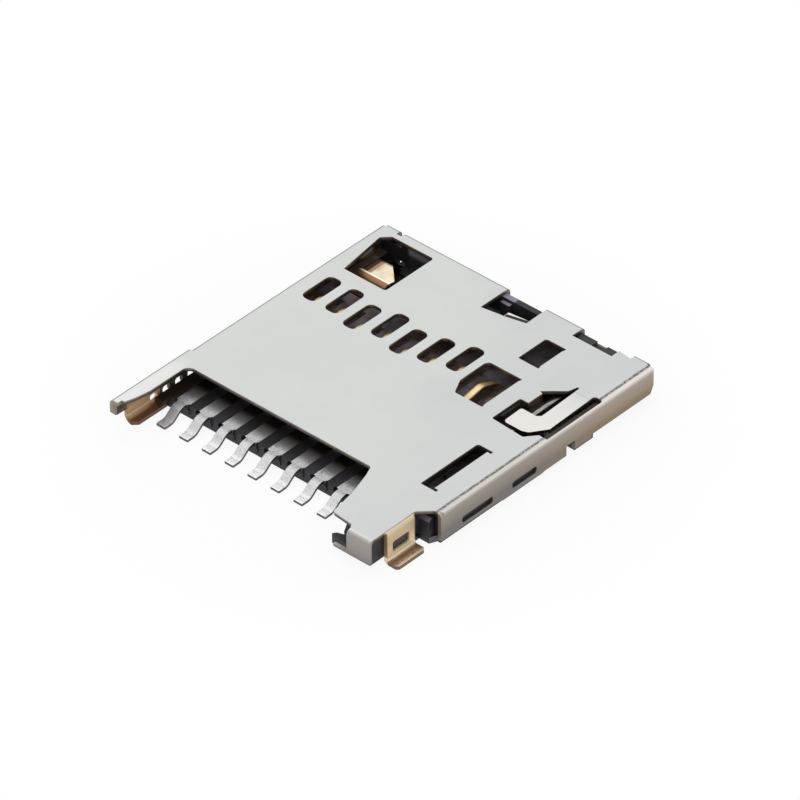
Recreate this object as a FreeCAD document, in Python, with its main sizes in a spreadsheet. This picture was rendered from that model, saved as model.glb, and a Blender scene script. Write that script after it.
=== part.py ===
import FreeCAD, Part
import Sketcher
import math
import os
import re

# A push-push socket for a small memory card, soldered flat on a circuit board.
# Millimetres. X runs across the card, Y the way the card goes in, Z up from the board.
# The origin is on the board, at the middle of the folded shell's outline.

os.makedirs("parts", exist_ok=True)
doc = FreeCAD.newDocument("card_socket")
sheet = doc.addObject("Spreadsheet::Sheet", "Sizes")

sizes = {
    # The folded steel shell
    "shell_length": 14.35,
    "shell_height": 1.43,
    "shell_gauge": 0.15,
    "bend_radius": 0.22,
    "bend_lap": 0.40,
    "wall_foot_gap": 0.25,
    "cut_margin": 0.30,
    "fit": 0.02,
    # The card, and how it is led
    "card_width": 11.00,
    "card_step": 1.30,
    "slider_room": 2.04,
    "card_side_gap": 0.04,
    "guide_gap": 0.08,
    "guide_depth": 0.72,
    # The finger cut-out at the mouth
    "finger_depth": 3.245,
    "finger_inset": 0.64,
    "finger_corner": 0.30,
    "finger_right_inset": 3.64,
    "horn_length": 1.30,
    "horn_curl": 0.24,
    "mouth_lean": 0.20,
    "mouth_fall": 0.50,
    "mouth_step": 0.40,
    # The flared lip, solder tab and slits of the left wall
    "lip_flare": 0.12,
    "lip_length": 4.00,
    "lip_depth": 0.78,
    "left_tab_start": 0.72,
    "left_tab_length": 1.65,
    "left_foot_reach": 0.38,
    "foot_reach": 0.50,
    "foot_bend": 0.25,
    "foot_corner": 0.10,
    "slit_low": 0.24,
    "slit_high": 0.56,
    "slit_length": 0.38,
    "slit_step": 0.65,
    # The front right corner of the shell, with its solder tab
    "corner_left": 1.85,
    "corner_inset": 0.80,
    "corner_depth": 2.40,
    "corner_slant": 0.60,
    "front_wall_gap": 0.43,
    "tab_start": 0.85,
    "tab_length": 1.45,
    "tab_window_length": 0.86,
    "tab_window_height": 0.44,
    "tab_window_low": 0.40,
    "sill_length": 0.70,
    "sill_depth": 0.18,
    "sill_gauge": 0.10,
    # The right wall, with its slots and stepped lower edge
    "right_wall_start": 2.85,
    "latch_slot_start": 1.10,
    "latch_slot_low": 0.40,
    "latch_slot_height": 0.28,
    "latch_slot_corner": 0.10,
    "front_slot_length": 1.60,
    "rear_slot_length": 1.28,
    "slot_spacing": 2.53,
    "belly_length": 2.10,
    "belly_drop": 0.08,
    "wall_nick_length": 0.45,
    "wall_nick_height": 0.38,
    # The rear edge, with its two notches
    "rear_wall_start": 1.07,
    "corner_notch_width": 0.24,
    "stop_notch_width": 1.86,
    "stop_notch_depth": 1.60,
    "stop_lean": 0.43,
    "stop_lip_width": 0.98,
    "stop_lip_depth": 0.55,
    "stop_lip_drop": 0.10,
    "stop_lip_fall": 0.29,
    "stop_lip_reach": 0.38,
    "rear_land": 1.70,
    "post_notch_width": 1.85,
    "post_notch_inset": 1.58,
    "post_notch_depth": 0.69,
    "post_rail_height": 1.00,
    "rear_tab_length": 0.64,
    "rear_tab_inset": 0.34,
    # Openings in the top
    "switch_window_width": 2.02,
    "switch_window_length": 2.60,
    "switch_window_inset": 0.84,
    "switch_window_back": 0.55,
    "switch_window_cut": 0.32,
    "oval_width": 0.68,
    "oval_length": 1.62,
    "oval_corner": 0.26,
    "first_window_width": 1.59,
    "first_window_length": 2.14,
    "first_window_cut": 0.33,
    "window_lead": 1.31,
    "square_window_width": 0.92,
    "square_window_length": 1.51,
    "square_window_gap": 0.86,
    "relief_width": 0.13,
    "relief_depth": 0.10,
    "guide_nick": 0.03,
    "rail_nick": 0.17,
    "rail_slot_width": 0.55,
    "rail_slot_length": 3.01,
    "rail_slot_start": 3.69,
    "rail_depth": 0.53,
    "rail_inset": 1.17,
    "window_corner": 0.12,
    # The leaf spring cut from the top, which holds the cam pin down
    "leaf_length": 3.10,
    "leaf_width": 0.70,
    "leaf_inset": 0.48,
    "leaf_toe_reach": 0.85,
    "leaf_toe_length": 0.95,
    "leaf_back": 2.86,
    "leaf_drop": 0.12,
    "leaf_gap": 0.25,
    "leaf_heel_cut": 0.70,
    "pin_fence_length": 0.74,
    "pin_fence_depth": 0.30,
    # The moulded base
    "floor_height": 0.50,
    "channel_floor": 0.18,
    "web_height": 0.12,
    "top_gap": 0.03,
    "bar_reach": 0.85,
    "side_wall": 0.28,
    "rear_wall": 0.24,
    "rib_bump": 0.15,
    "bump_height": 0.08,
    "front_lobe": 0.42,
    "latch_reach": 0.09,
    "nose_length": 0.90,
    "nose_width": 0.98,
    "nose_depth": 0.35,
    "nose_reach": 0.30,
    "block_wall": 0.14,
    "block_lift": 0.27,
    "pivot_boss_size": 0.76,
    "ridge_setback": 0.355,
    "ridge_length": 0.27,
    "ridge_width": 0.50,
    "ridge_chamfer": 0.14,
    "ridge_foot_height": 0.32,
    # The contacts
    "contact_margin": 1.00,
    "first_contact_inset": 0.90,
    "contact_gauge": 0.12,
    "tail_width": 0.42,
    "shoulder_width": 0.62,
    "tip_width": 0.30,
    "tail_reach": 1.10,
    "tail_flat": 0.45,
    "tail_bend": 0.45,
    "contact_seat": 0.38,
    "contact_rise": 0.54,
    "contact_reach": 6.45,
    "beam_length": 3.10,
    "beam_bend": 1.50,
    "tip_bend": 0.35,
    "tip_length": 0.68,
    "tip_fall": 0.26,
    "early_lead": 0.27,
    "late_lag": 0.31,
    "slot_gap": 0.02,
    # The slider, its cam and its spring
    "slider_gap": 0.05,
    "slider_lift": 0.04,
    "slider_headroom": 0.20,
    "cam_depth": 0.32,
    "cam_swing": 0.33,
    "cam_side_step": 0.38,
    "home_inset": 0.55,
    "head_overlap": 0.21,
    "head_length": 1.07,
    "arm_width": 0.28,
    "pin_radius": 0.14,
    "pin_gap": 0.03,
    "pin_inset": 1.57,
    "pivot_back": 0.67,
    "spring_radius": 0.25,
    "spring_wire": 0.06,
    "spring_turns": 9,
    "spring_boss_length": 0.45,
    # The leaf on the slider that catches the card's notch
    "lock_gauge": 0.10,
    "lock_root": 0.60,
    "lock_length": 2.50,
    "lock_reach": 0.54,
    # The card detection switch
    "switch_gauge": 0.10,
    "switch_width": 1.35,
    "switch_inset": 0.90,
    "switch_tail_width": 0.40,
    "switch_tail_reach": 0.38,
    "switch_seat": 0.28,
    "switch_length": 1.90,
    "switch_rise": 0.52,
    "switch_top_length": 0.95,
    "switch_tip_length": 0.20,
    "switch_spur": 0.20,
    "switch_bend": 0.14,
    "switch_pad_length": 0.50,
    "switch_spacing": 1.30,
    "pocket_floor": 0.14,
}

# Places worked out from the sizes above.
places = {
    "shell_width": "card_width + slider_room",
    "card_nose_width": "card_width - card_step",
    "contact_pitch": "(card_nose_width - 2 * contact_margin) / 7",
    "left": "-shell_width / 2",
    "right": "shell_width / 2",
    "front": "-shell_length / 2",
    "rear": "shell_length / 2",
    "in_left": "left + shell_gauge",
    "in_right": "right - shell_gauge",
    "in_rear": "rear - shell_gauge",
    "plate_bottom": "shell_height - shell_gauge",
    "card_left": "in_left + card_side_gap",
    "card_right": "card_left + card_width",
    "guide_left": "card_left + card_nose_width + guide_gap",
    "guide_right": "guide_left + shell_gauge",
    "first_window_front": "apex - window_lead",
    "first_window_rear": "first_window_front + first_window_length",
    "square_window_front": "first_window_rear + square_window_gap",
    "square_window_rear": "square_window_front + square_window_length",
    "rail_slot_front": "front + rail_slot_start",
    "rail_slot_rear": "rail_slot_front + rail_slot_length",
    "finger_left": "left + finger_inset",
    "finger_right": "right - finger_right_inset",
    "finger_edge": "front + finger_depth",
    "bar_front": "finger_edge - bar_reach",
    "lip_left": "left - lip_flare",
    "lip_end": "front + lip_length",
    "left_tab_front": "front + left_tab_start",
    "left_tab_rear": "left_tab_front + left_tab_length",
    "corner_edge": "right - corner_inset",
    "corner_rear": "front + corner_depth",
    "front_wall_left": "right - corner_left",
    "tab_front": "front + tab_start",
    "tab_rear": "tab_front + tab_length",
    "right_wall_front": "front + right_wall_start",
    "front_slot": "right_wall_front + latch_slot_start",
    "rear_wall_left": "left + rear_wall_start",
    "post_notch_right": "right - post_notch_inset",
    "post_notch_left": "post_notch_right - post_notch_width",
    "stop_notch_right": "post_notch_left - rear_land",
    "stop_notch_left": "stop_notch_right - stop_notch_width",
    "stop_edge": "rear - stop_notch_depth",
    "stop_lip_left": "stop_notch_right - stop_lip_width",
    "stop_lip_front": "stop_edge + stop_lean - stop_lip_fall",
    "rear_tab_right": "right - rear_tab_inset",
    "rear_tab_left": "rear_tab_right - rear_tab_length",
    "bend_start": "rear - bend_radius",
    "first_contact": "card_left + first_contact_inset",
    "last_contact": "first_contact + 7 * contact_pitch",
    "apex": "finger_edge + contact_reach",
    "beam_root": "apex - beam_length",
    "tail_tip": "bar_front - tail_reach",
    "channel_left": "guide_right - fit",
    "channel_right": "in_right - fit - side_wall",
    "wall_top": "plate_bottom - top_gap",
    "inner_rear": "in_rear - fit - rear_wall",
    "pivot_x": "in_right - pin_inset",
    "pivot_y": "in_rear - pivot_back",
    "boss_front": "pivot_y - pivot_boss_size / 2",
    "slider_left": "guide_right + slider_gap + shell_gauge / 3",
    "slider_right": "channel_right - slider_gap",
    "slider_bottom": "channel_floor + slider_lift",
    "slider_top": "plate_bottom - slider_headroom",
    "slider_rear": "boss_front - 4 * slider_gap - slider_travel",
    "home": "slider_rear - home_inset",
    "cam_top": "pin_z - pin_radius - slider_lift",
    "cam_floor": "cam_top - cam_depth",
    "lane": "pin_radius + pin_gap",
    "head_front": "right_wall_front + 2 * shell_gauge + slider_gap",
    "head_rear": "head_front + head_length",
    "cam_lap": "head_overlap + lane - slider_gap",
    "slider_travel": "(boss_front - 4 * slider_gap - home_inset - cam_lap - head_rear) / 2",
    "arm_front": "front + shell_gauge + fit + block_wall + slider_gap + shell_gauge",
    "spring_x": "slider_right - spring_radius - spring_wire",
    "spring_z": "slider_bottom + spring_radius + 2 * spring_wire",
    "cam_right": "spring_x - spring_radius - spring_wire - slider_gap",
    "pin_z": "plate_bottom - leaf_drop - fit - pin_radius",
    "leaf_right": "right - leaf_inset",
    "leaf_left": "leaf_right - leaf_width",
    "leaf_root": "rear - leaf_back",
    "leaf_tip": "leaf_root - leaf_length",
    "leaf_toe": "leaf_left - leaf_toe_reach",
    "fence_x": "leaf_toe + leaf_gap / 4",
    "nose_left": "front_wall_left - nose_width",
    "nose_front": "front + shell_gauge + sill_depth",
    "ridge_front": "tab_rear + ridge_setback",
    "block_right": "corner_edge + shell_gauge / 2 - shell_gauge - fit",
    "rail_left": "in_right - rail_inset + shell_gauge",
    "lock_x": "card_right + shell_gauge + lock_gauge",
    "lock_low": "floor_height + slider_lift + slider_gap",
    "switch_left": "left + switch_inset",
    "switch_tail_end": "rear + switch_tail_reach",
}


def spell(text):
    # Writes a place or size, given in words, in the names of the sheet's cells.
    def word(found):
        name = found.group(0)
        if name in places:
            return "(" + spell(places[name]) + ")"
        return "Sizes." + name if name in sizes else name

    return re.sub(r"[a-z][a-z_]*", word, str(text))


def value(text):
    return float(sheet.evalExpression(spell(text)))


for row, (name, size) in enumerate(sizes.items(), 1):
    sheet.set(f"A{row}", name)
    sheet.set(f"B{row}", str(size))
    sheet.setAlias(f"B{row}", name)
doc.recompute()

V = FreeCAD.Vector
# Each plane's turn, and the way an outline drawn on it is thickened.
planes = {
    "top": (FreeCAD.Rotation(), V(0, 0, 1), "z"),
    "side": (FreeCAD.Rotation(V(0, 1, 0), V(0, 0, 1), V(1, 0, 0), "XYZ"), V(1, 0, 0), "x"),
    "end": (FreeCAD.Rotation(V(1, 0, 0), V(0, 0, 1), V(0, -1, 0), "XYZ"), V(0, 1, 0), "y"),
}


def corner_cut(points, i, radius):
    # The two ends of the arc that rounds corner i, and the arc's middle.
    back = (points[i - 1] - points[i]).normalize()
    ahead = (points[(i + 1) % len(points)] - points[i]).normalize()
    half = back.getAngle(ahead) / 2
    middle = (back + ahead).normalize()
    reach = radius / math.tan(half)
    top = points[i] + middle * (radius / math.sin(half) - radius)
    return points[i] + back * reach, top, points[i] + ahead * reach


def sketch(name, plane, corners, closed=True):
    # An outline or a path. A corner is two places, and a third if it is rounded.
    drawing = doc.addObject("Sketcher::SketchObject", name)
    drawing.Placement.Rotation = planes[plane][0]
    points = [V(value(c[0]), value(c[1]), 0) for c in corners]
    radii = [value(c[2]) if len(c) > 2 else 0 for c in corners]
    count = len(points)
    arcs = {i: corner_cut(points, i, radii[i]) for i in range(count) if radii[i]}

    def bind(kind, geometry, text, *where):
        number = drawing.addConstraint(Sketcher.Constraint(kind, *where, *geometry, value(text)))
        drawing.setExpression(f"Constraints[{number}]", spell(text))

    def hold(geometry, end, corner):
        bind("DistanceX", (geometry, end), corner[0], -1, 1)
        bind("DistanceY", (geometry, end), corner[1], -1, 1)

    lines = {}
    for i in range(count if closed else count - 1):
        j = (i + 1) % count
        start = arcs[i][2] if i in arcs else points[i]
        end = arcs[j][0] if j in arcs else points[j]
        lines[i] = drawing.addGeometry(Part.LineSegment(start, end), False)
    for i, corner in enumerate(corners):
        before = lines.get((i - 1) % count if closed else i - 1)
        after = lines.get(i)
        if before is None:
            hold(after, 1, corner)
        elif after is None:
            hold(before, 2, corner)
        elif i not in arcs:
            drawing.addConstraint(Sketcher.Constraint("Coincident", before, 2, after, 1))
            hold(after, 1, corner)
        else:
            arc = drawing.addGeometry(Part.Arc(*arcs[i]), False)
            forward = (drawing.getPoint(arc, 1) - arcs[i][0]).Length < radii[i] / 1000
            first, last = (1, 2) if forward else (2, 1)
            drawing.addConstraint(Sketcher.Constraint("Tangent", before, 2, arc, first))
            drawing.addConstraint(Sketcher.Constraint("Tangent", arc, last, after, 1))
            bind("Radius", (arc,), corner[2])
            mark = drawing.addGeometry(Part.Point(points[i]), True)
            drawing.addConstraint(Sketcher.Constraint("PointOnObject", mark, 1, before))
            drawing.addConstraint(Sketcher.Constraint("PointOnObject", mark, 1, after))
            hold(mark, 1, corner)
    return drawing


def extrude(name, base, plane, low, high):
    # Thickens what is drawn on a plane, from one place across it to another.
    turn, way, letter = planes[plane]
    solid = doc.addObject("Part::Extrusion", name)
    solid.Base = base
    solid.DirMode = "Custom"
    solid.Dir = way
    solid.Solid = True
    solid.setExpression("LengthFwd", f"{spell(high)} - ({spell(low)})")
    solid.setExpression(f"Placement.Base.{letter}", spell(low))
    return solid


def prism(name, plane, corners, low, high):
    return extrude(name, sketch(name + "_outline", plane, corners), plane, low, high)


def strip(name, plane, path, gauge, side, low, high):
    # Sheet of one gauge, bent along a path. It lies on the path's left or right side.
    line = sketch(name + "_path", plane, path, closed=False)
    section = doc.addObject("Part::Offset2D", name + "_section")
    section.Source = line
    section.Fill = True
    section.Mode = "Skin"
    section.setExpression("Value", spell(gauge))
    doc.recompute()
    start, end = line.Geometry[0].StartPoint, line.Geometry[0].EndPoint
    along = (end - start).normalize()
    off = V(-along.y, along.x, 0) * (value(gauge) / 2 * (1 if side == "left" else -1))
    probe = planes[plane][0].multVec((start + end) / 2 + off)
    if not section.Shape.Faces[0].isInside(probe, 0.001, True):
        section.setExpression("Value", f"-({spell(gauge)})")
    return extrude(name, section, plane, low, high)


def block(name, x, y, z):
    # A box between two places on each axis.
    solid = doc.addObject("Part::Box", name)
    for size, letter, (low, high) in zip(("Length", "Width", "Height"), "xyz", (x, y, z)):
        solid.setExpression(size, f"{spell(high)} - ({spell(low)})")
        solid.setExpression(f"Placement.Base.{letter}", spell(low))
    return solid


def rod(name, plane, centre, radius, low, high):
    # A cylinder across a plane, centred on two places in it.
    turn, way, letter = planes[plane]
    solid = doc.addObject("Part::Cylinder", name)
    solid.Placement.Rotation = FreeCAD.Rotation(V(0, 0, 1), way)
    solid.setExpression("Radius", spell(radius))
    solid.setExpression("Height", f"{spell(high)} - ({spell(low)})")
    solid.setExpression(f"Placement.Base.{letter}", spell(low))
    for axis, text in zip("xyz".replace(letter, ""), centre):
        solid.setExpression(f"Placement.Base.{axis}", spell(text))
    return solid


def join(name, solids):
    whole = doc.addObject("Part::MultiFuse", name)
    whole.Shapes = solids
    whole.Refine = True
    return whole


def cut(name, base, tools):
    rest = doc.addObject("Part::Cut", name)
    rest.Base = base
    rest.Tool = tools[0] if len(tools) == 1 else join(name + "_tools", tools)
    rest.Refine = True
    return rest


def common(name, solids):
    shared = doc.addObject("Part::MultiCommon", name)
    shared.Shapes = solids
    shared.Refine = True
    return shared


def shell_plate():
    # The flat top, from bend to bend, with the finger cut-out and the rear notches.
    left, right = "left + bend_radius", "right - bend_radius"
    edge = [
        ("lip_left + bend_radius", "front + shell_gauge"),
        ("finger_left - horn_curl", "front + horn_curl"),
        ("finger_left - horn_curl / 2", "front + horn_length / 2"),
        ("finger_left", "front + horn_length"),
        ("finger_left", "finger_edge", "finger_corner"),
        ("finger_right", "finger_edge", "finger_corner / 2"),
        ("finger_right + mouth_lean", "finger_edge - mouth_fall"),
        ("finger_right + 5 * mouth_lean / 2", "finger_edge - 3 * mouth_fall"),
        ("finger_right + 3 * mouth_lean + window_corner", "front + mouth_fall", "window_corner"),
        ("front_wall_left - window_corner", "front + mouth_step"),
        ("front_wall_left", "front + bend_radius"),
        ("corner_edge", "front + bend_radius"),
        ("corner_edge", "corner_rear", "window_corner"),
        ("corner_edge + corner_slant - window_corner", "corner_rear + corner_slant - window_corner"),
        ("right", "right_wall_front + shell_gauge"),
        ("right", "rear - bend_radius"),
        ("rear_tab_left", "rear - bend_radius"),
        ("rear_tab_left", "rear - bend_radius - relief_width"),
        ("post_notch_right", "rear - bend_radius - relief_width / 3"),
        ("post_notch_right", "rear - post_notch_depth"),
        ("post_notch_left", "rear - post_notch_depth"),
        ("post_notch_left", "rear - bend_radius"),
        ("stop_notch_right", "rear - bend_radius"),
        ("stop_notch_right", "stop_edge + stop_lean"),
        ("stop_lip_left", "stop_lip_front"),
        ("stop_notch_left", "stop_edge"),
        ("stop_notch_left", "rear - bend_radius"),
        ("rear_wall_left", "rear - bend_radius"),
        ("rear_wall_left", "rear - bend_radius - relief_depth"),
        ("rear_wall_left - corner_notch_width", "rear - bend_radius - relief_depth"),
        ("rear_wall_left - corner_notch_width", "rear - bend_radius"),
        (left, "rear - bend_radius"),
        (left, "lip_end"),
        ("lip_left + bend_radius", "lip_end"),
    ]
    return prism("plate", "top", edge, "plate_bottom", "shell_height")


def shell_walls():
    # The walls folded down from the top. Each keeps a short leg that runs into the plate.
    inner_bend = "bend_radius - shell_gauge"
    leg = "bend_lap"

    def across(name, face, way, foot, low, high):
        path = [(f"{face} + {way} * {leg}", "shell_height"), (face, "shell_height", "bend_radius")]
        side = "left" if way == "1" else "right"
        plane = "end" if face in ("left", "lip_left", "right") else "side"
        return strip(name, plane, path + [(face, foot)], "shell_gauge", side, low, high)

    walls = [
        across("left_wall", "left", "1", "wall_foot_gap", "lip_end", "bend_start"),
        across("lip_wall", "lip_left", "1", "wall_foot_gap", "left_tab_rear", "lip_end"),
        across("lip", "lip_left", "1", "shell_height - lip_depth", "front", "left_tab_front"),
        across("right_wall", "right", "-1", "wall_foot_gap - belly_drop", "right_wall_front",
               "bend_start"),
        across("front_wall", "front", "1", "front_wall_gap", "front_wall_left", "corner_edge"),
        across("rear_corner_wall", "rear", "-1", "wall_foot_gap", "left + bend_radius",
               "rear_wall_left - corner_notch_width"),
        across("rear_wall_one", "rear", "-1", "wall_foot_gap", "rear_wall_left", "stop_notch_left"),
        across("rear_wall_two", "rear", "-1", "wall_foot_gap", "stop_notch_right", "post_notch_left"),
        across("rear_wall_three", "rear", "-1", "wall_foot_gap", "rear_tab_left", "rear_tab_right"),
        block("post_rail", ("post_notch_left", "rear_tab_left"), ("in_rear", "rear"),
              ("wall_foot_gap", "post_rail_height")),
    ]

    def footed(name, face, way, low, high):
        # A solder tab: down the side, then out along the board.
        inside = f"{face} - {way} * shell_gauge"
        path = [
            (f"{face} - {way} * {leg}", "plate_bottom"),
            (inside, "plate_bottom", inner_bend),
            (inside, "0", "foot_bend"),
            (f"{face} + {way} * foot_reach", "0"),
        ]
        return strip(name, "end", path, "shell_gauge", "left" if way == "1" else "right", low, high)

    walls.append(footed("right_tab", "(corner_edge + shell_gauge / 2)", "1", "tab_front", "tab_rear"))
    # The left tab's foot is turned inward, under the card.
    path = [
        ("lip_left + bend_lap", "shell_height"),
        ("lip_left", "shell_height", "bend_radius"),
        ("lip_left", "0", "foot_bend + shell_gauge"),
        ("lip_left + shell_gauge + left_foot_reach", "0"),
    ]
    walls.append(strip("left_tab", "end", path, "shell_gauge", "left", "left_tab_front", "left_tab_rear"))
    return walls


def shell_openings():
    # What is punched out of the top and the walls.
    low, high = "plate_bottom - cut_margin", "shell_height + cut_margin"

    def relieved(name, x_low, x_high, y_low, y_high, nick_depth, cut_corner=None):
        # A window whose right edge is folded down, with a relief nick at each end of the fold.
        nick = f"{x_high} + {nick_depth}"
        left_side = [(x_low, y_high, "window_corner"), (x_low, y_low)]
        if cut_corner:
            left_side = [
                (f"{x_low} + {cut_corner} / 3", y_high, "window_corner"),
                (x_low, f"{y_high} - {cut_corner} / 2", "window_corner"),
                (x_low, f"{y_low} + 2 * {cut_corner}", "window_corner"),
                (f"{x_low} + {cut_corner}", y_low, "window_corner"),
            ]
        edge = left_side + [
            (nick, y_low),
            (nick, f"{y_low} + relief_width"),
            (x_high, f"{y_low} + relief_width"),
            (x_high, f"{y_high} - relief_width"),
            (nick, f"{y_high} - relief_width"),
            (nick, y_high),
        ]
        return prism(name, "top", edge, low, high)

    tools = []
    window_right = "left + switch_window_inset + switch_window_width"
    window_rear = "rear - switch_window_back"
    tools.append(prism("switch_window", "top", [
        ("left + switch_window_inset", f"{window_rear} - switch_window_length"),
        (window_right, f"{window_rear} - switch_window_length", "window_corner"),
        (window_right, window_rear, "window_corner"),
        ("left + switch_window_inset", window_rear, "window_corner"),
        ("left + switch_window_inset - switch_window_cut", f"{window_rear} - switch_window_cut",
         "window_corner"),
    ], low, high))
    for number in range(8, 1, -1):
        middle = f"first_contact + {8 - number} * contact_pitch"
        centre = f"apex + shell_gauge / 2{tip_shift(number)}"
        corners = [(f"{middle} {x} oval_width / 2", f"{centre} {y} oval_length / 2", "oval_corner")
                   for x, y in ("--", "+-", "++", "-+")]
        tools.append(prism(f"oval_{number}", "top", corners, low, high))
    tools.append(relieved("first_window", "guide_left - first_window_width", "guide_left",
                          "first_window_front", "first_window_rear", "guide_nick", "first_window_cut"))
    tools.append(relieved("square_window", "guide_left - square_window_width", "guide_left",
                          "square_window_front", "square_window_rear", "guide_nick"))
    tools.append(relieved("rail_slot", "rail_left - rail_slot_width", "rail_left",
                          "rail_slot_front", "rail_slot_rear", "rail_nick"))
    return tools


def leaf_slot():
    # The gap round the leaf spring. On the right it runs into the bend of the wall.
    toe = "leaf_toe - leaf_gap / 2"
    corners = [
        (toe, "leaf_tip - leaf_gap", "leaf_gap / 3"),
        ("leaf_right - leaf_width / 2", "leaf_tip - leaf_gap - relief_depth", "leaf_gap / 3"),
        ("leaf_right + relief_depth / 5", "leaf_tip + relief_depth", "relief_depth / 2"),
        ("right - shell_gauge / 2", "leaf_tip + relief_depth"),
        ("right - shell_gauge / 2", "leaf_root", "leaf_gap / 2"),
        ("leaf_right", "leaf_root", "leaf_gap / 2"),
        ("leaf_right", "leaf_root - leaf_gap"),
        ("leaf_left", "leaf_root - leaf_gap"),
        ("leaf_left", "leaf_root", "relief_depth / 3"),
        ("leaf_left - relief_depth", "leaf_root", "relief_depth / 3"),
        ("leaf_left - 3 * leaf_gap / 4", "leaf_root - 3 * leaf_gap / 2", "leaf_gap"),
        ("leaf_toe + leaf_gap / 2", "leaf_root - 3 * leaf_gap - relief_depth"),
        ("leaf_toe - leaf_gap / 3", "leaf_root - 4 * leaf_gap - relief_depth / 2"),
        ("fence_x", "leaf_root - 4 * leaf_gap - relief_depth"),
        ("fence_x", "leaf_root - 4 * leaf_gap - relief_depth - pin_fence_length"),
        (toe, "leaf_root - 4 * leaf_gap - pin_fence_length - relief_depth", "leaf_gap / 3"),
    ]
    return prism("leaf_slot", "top", corners, "plate_bottom - relief_depth", "shell_height + cut_margin")


def wall_cuts():
    # Slots that the base latches in, and the stepped lower edge of the right wall.
    x_out = ("right - 2 * shell_gauge", "right + shell_gauge")
    foot = "wall_foot_gap"
    slot_z = ("latch_slot_low", "latch_slot_low + latch_slot_height")

    def slot(name, x, low, high, z):
        edge = [(y, height, "latch_slot_corner") for y, height in (
            (low, z[0]), (high, z[0]), (high, z[1]), (low, z[1]))]
        return prism(name, "side", edge, *x)

    belly = "front_slot + slot_spacing + rear_slot_length / 2 - belly_length / 2"
    nick = f"{belly} + belly_length + rear_slot_length"
    under = [
        ("right_wall_front - shell_gauge", "-shell_gauge"),
        ("right_wall_front - shell_gauge", foot),
        (f"{belly} - shell_gauge", foot),
        (belly, f"{foot} - belly_drop"),
        (f"{belly} + belly_length", f"{foot} - belly_drop"),
        (f"{belly} + belly_length + shell_gauge", f"{foot} - shell_gauge / 3"),
        (nick, f"{foot} - shell_gauge / 3"),
        (nick, f"{foot} + wall_nick_height", "relief_depth / 3"),
        (f"{nick} + wall_nick_length", f"{foot} + wall_nick_height", "relief_depth / 3"),
        (f"{nick} + wall_nick_length", foot),
        (f"{nick} + 3 * wall_nick_length", foot, "relief_depth / 2"),
        (f"{nick} + 3 * wall_nick_length", f"{foot} + shell_gauge", "relief_depth / 2"),
        (f"{nick} + 4 * wall_nick_length", f"{foot} + shell_gauge", "relief_depth / 2"),
        (f"{nick} + 4 * wall_nick_length", foot, "relief_depth / 2"),
        ("bend_start - bend_radius", foot, "bend_radius"),
        ("bend_start", f"{foot} + 2 * bend_radius"),
        ("rear + shell_gauge", f"{foot} + 2 * bend_radius"),
        ("rear + shell_gauge", "-shell_gauge"),
    ]
    tab_x = ("corner_edge - 2 * shell_gauge", "corner_edge + 2 * shell_gauge")
    tab_low = "tab_front + (tab_length - tab_window_length) / 2"
    lip_x = ("lip_left - shell_gauge", "in_left + shell_gauge / 2")
    first_slit = "left_tab_rear - relief_depth - slit_length"
    slits = [
        slot(f"left_slit_{i}", lip_x, f"{first_slit} + {i} * slit_step",
             f"{first_slit} + {i} * slit_step + slit_length", ("slit_low" if i == 0 else "0", "slit_high"))
        for i in range(4)
    ]
    foot_end = "corner_edge + shell_gauge / 2 + foot_reach"
    for name, edge, way in (("front", "tab_front", "-"), ("rear", "tab_rear", "+")):
        slits.append(prism(f"foot_corner_{name}", "top", [
            (f"{foot_end} - foot_corner", f"{edge} {way} shell_gauge"),
            (f"{foot_end} - foot_corner", edge),
            (foot_end, f"{edge} - ({way} foot_corner)"),
            (f"{foot_end} + shell_gauge", f"{edge} - ({way} foot_corner)"),
            (f"{foot_end} + shell_gauge", f"{edge} {way} shell_gauge"),
        ], "-shell_gauge", "2 * shell_gauge"))
    slits.append(prism("left_foot_corner", "top", [
        ("lip_left + shell_gauge + left_foot_reach - 2 * foot_corner", "left_tab_front - shell_gauge"),
        ("lip_left + shell_gauge + left_foot_reach - 2 * foot_corner", "left_tab_front"),
        ("lip_left + shell_gauge + left_foot_reach", "left_tab_front + 2 * foot_corner"),
        ("lip_left + 2 * shell_gauge + left_foot_reach", "left_tab_front + 2 * foot_corner"),
        ("lip_left + 2 * shell_gauge + left_foot_reach", "left_tab_front - shell_gauge"),
    ], "-shell_gauge", "2 * shell_gauge"))
    lip_nose = [
        ("front - shell_gauge", "shell_height - lip_depth + lip_depth / 2"),
        ("front + shell_gauge", "shell_height - lip_depth", "lip_depth / 4"),
        ("front + 3 * shell_gauge", "shell_height - lip_depth"),
        ("front + 3 * shell_gauge", "shell_height - lip_depth - shell_gauge"),
        ("front - shell_gauge", "shell_height - lip_depth - shell_gauge"),
    ]
    return slits + [
        slot("front_latch_slot", x_out, "front_slot", "front_slot + front_slot_length", slot_z),
        slot("rear_latch_slot", x_out, "front_slot + slot_spacing + relief_depth",
             "front_slot + slot_spacing + relief_depth + rear_slot_length", slot_z),
        prism("wall_underside", "side", under, *x_out),
        slot("tab_window", tab_x, tab_low, f"{tab_low} + tab_window_length",
             ("tab_window_low", "tab_window_low + tab_window_height")),
        prism("lip_nose", "side", lip_nose, "lip_left - shell_gauge", "in_left + shell_gauge"),
    ]


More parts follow.
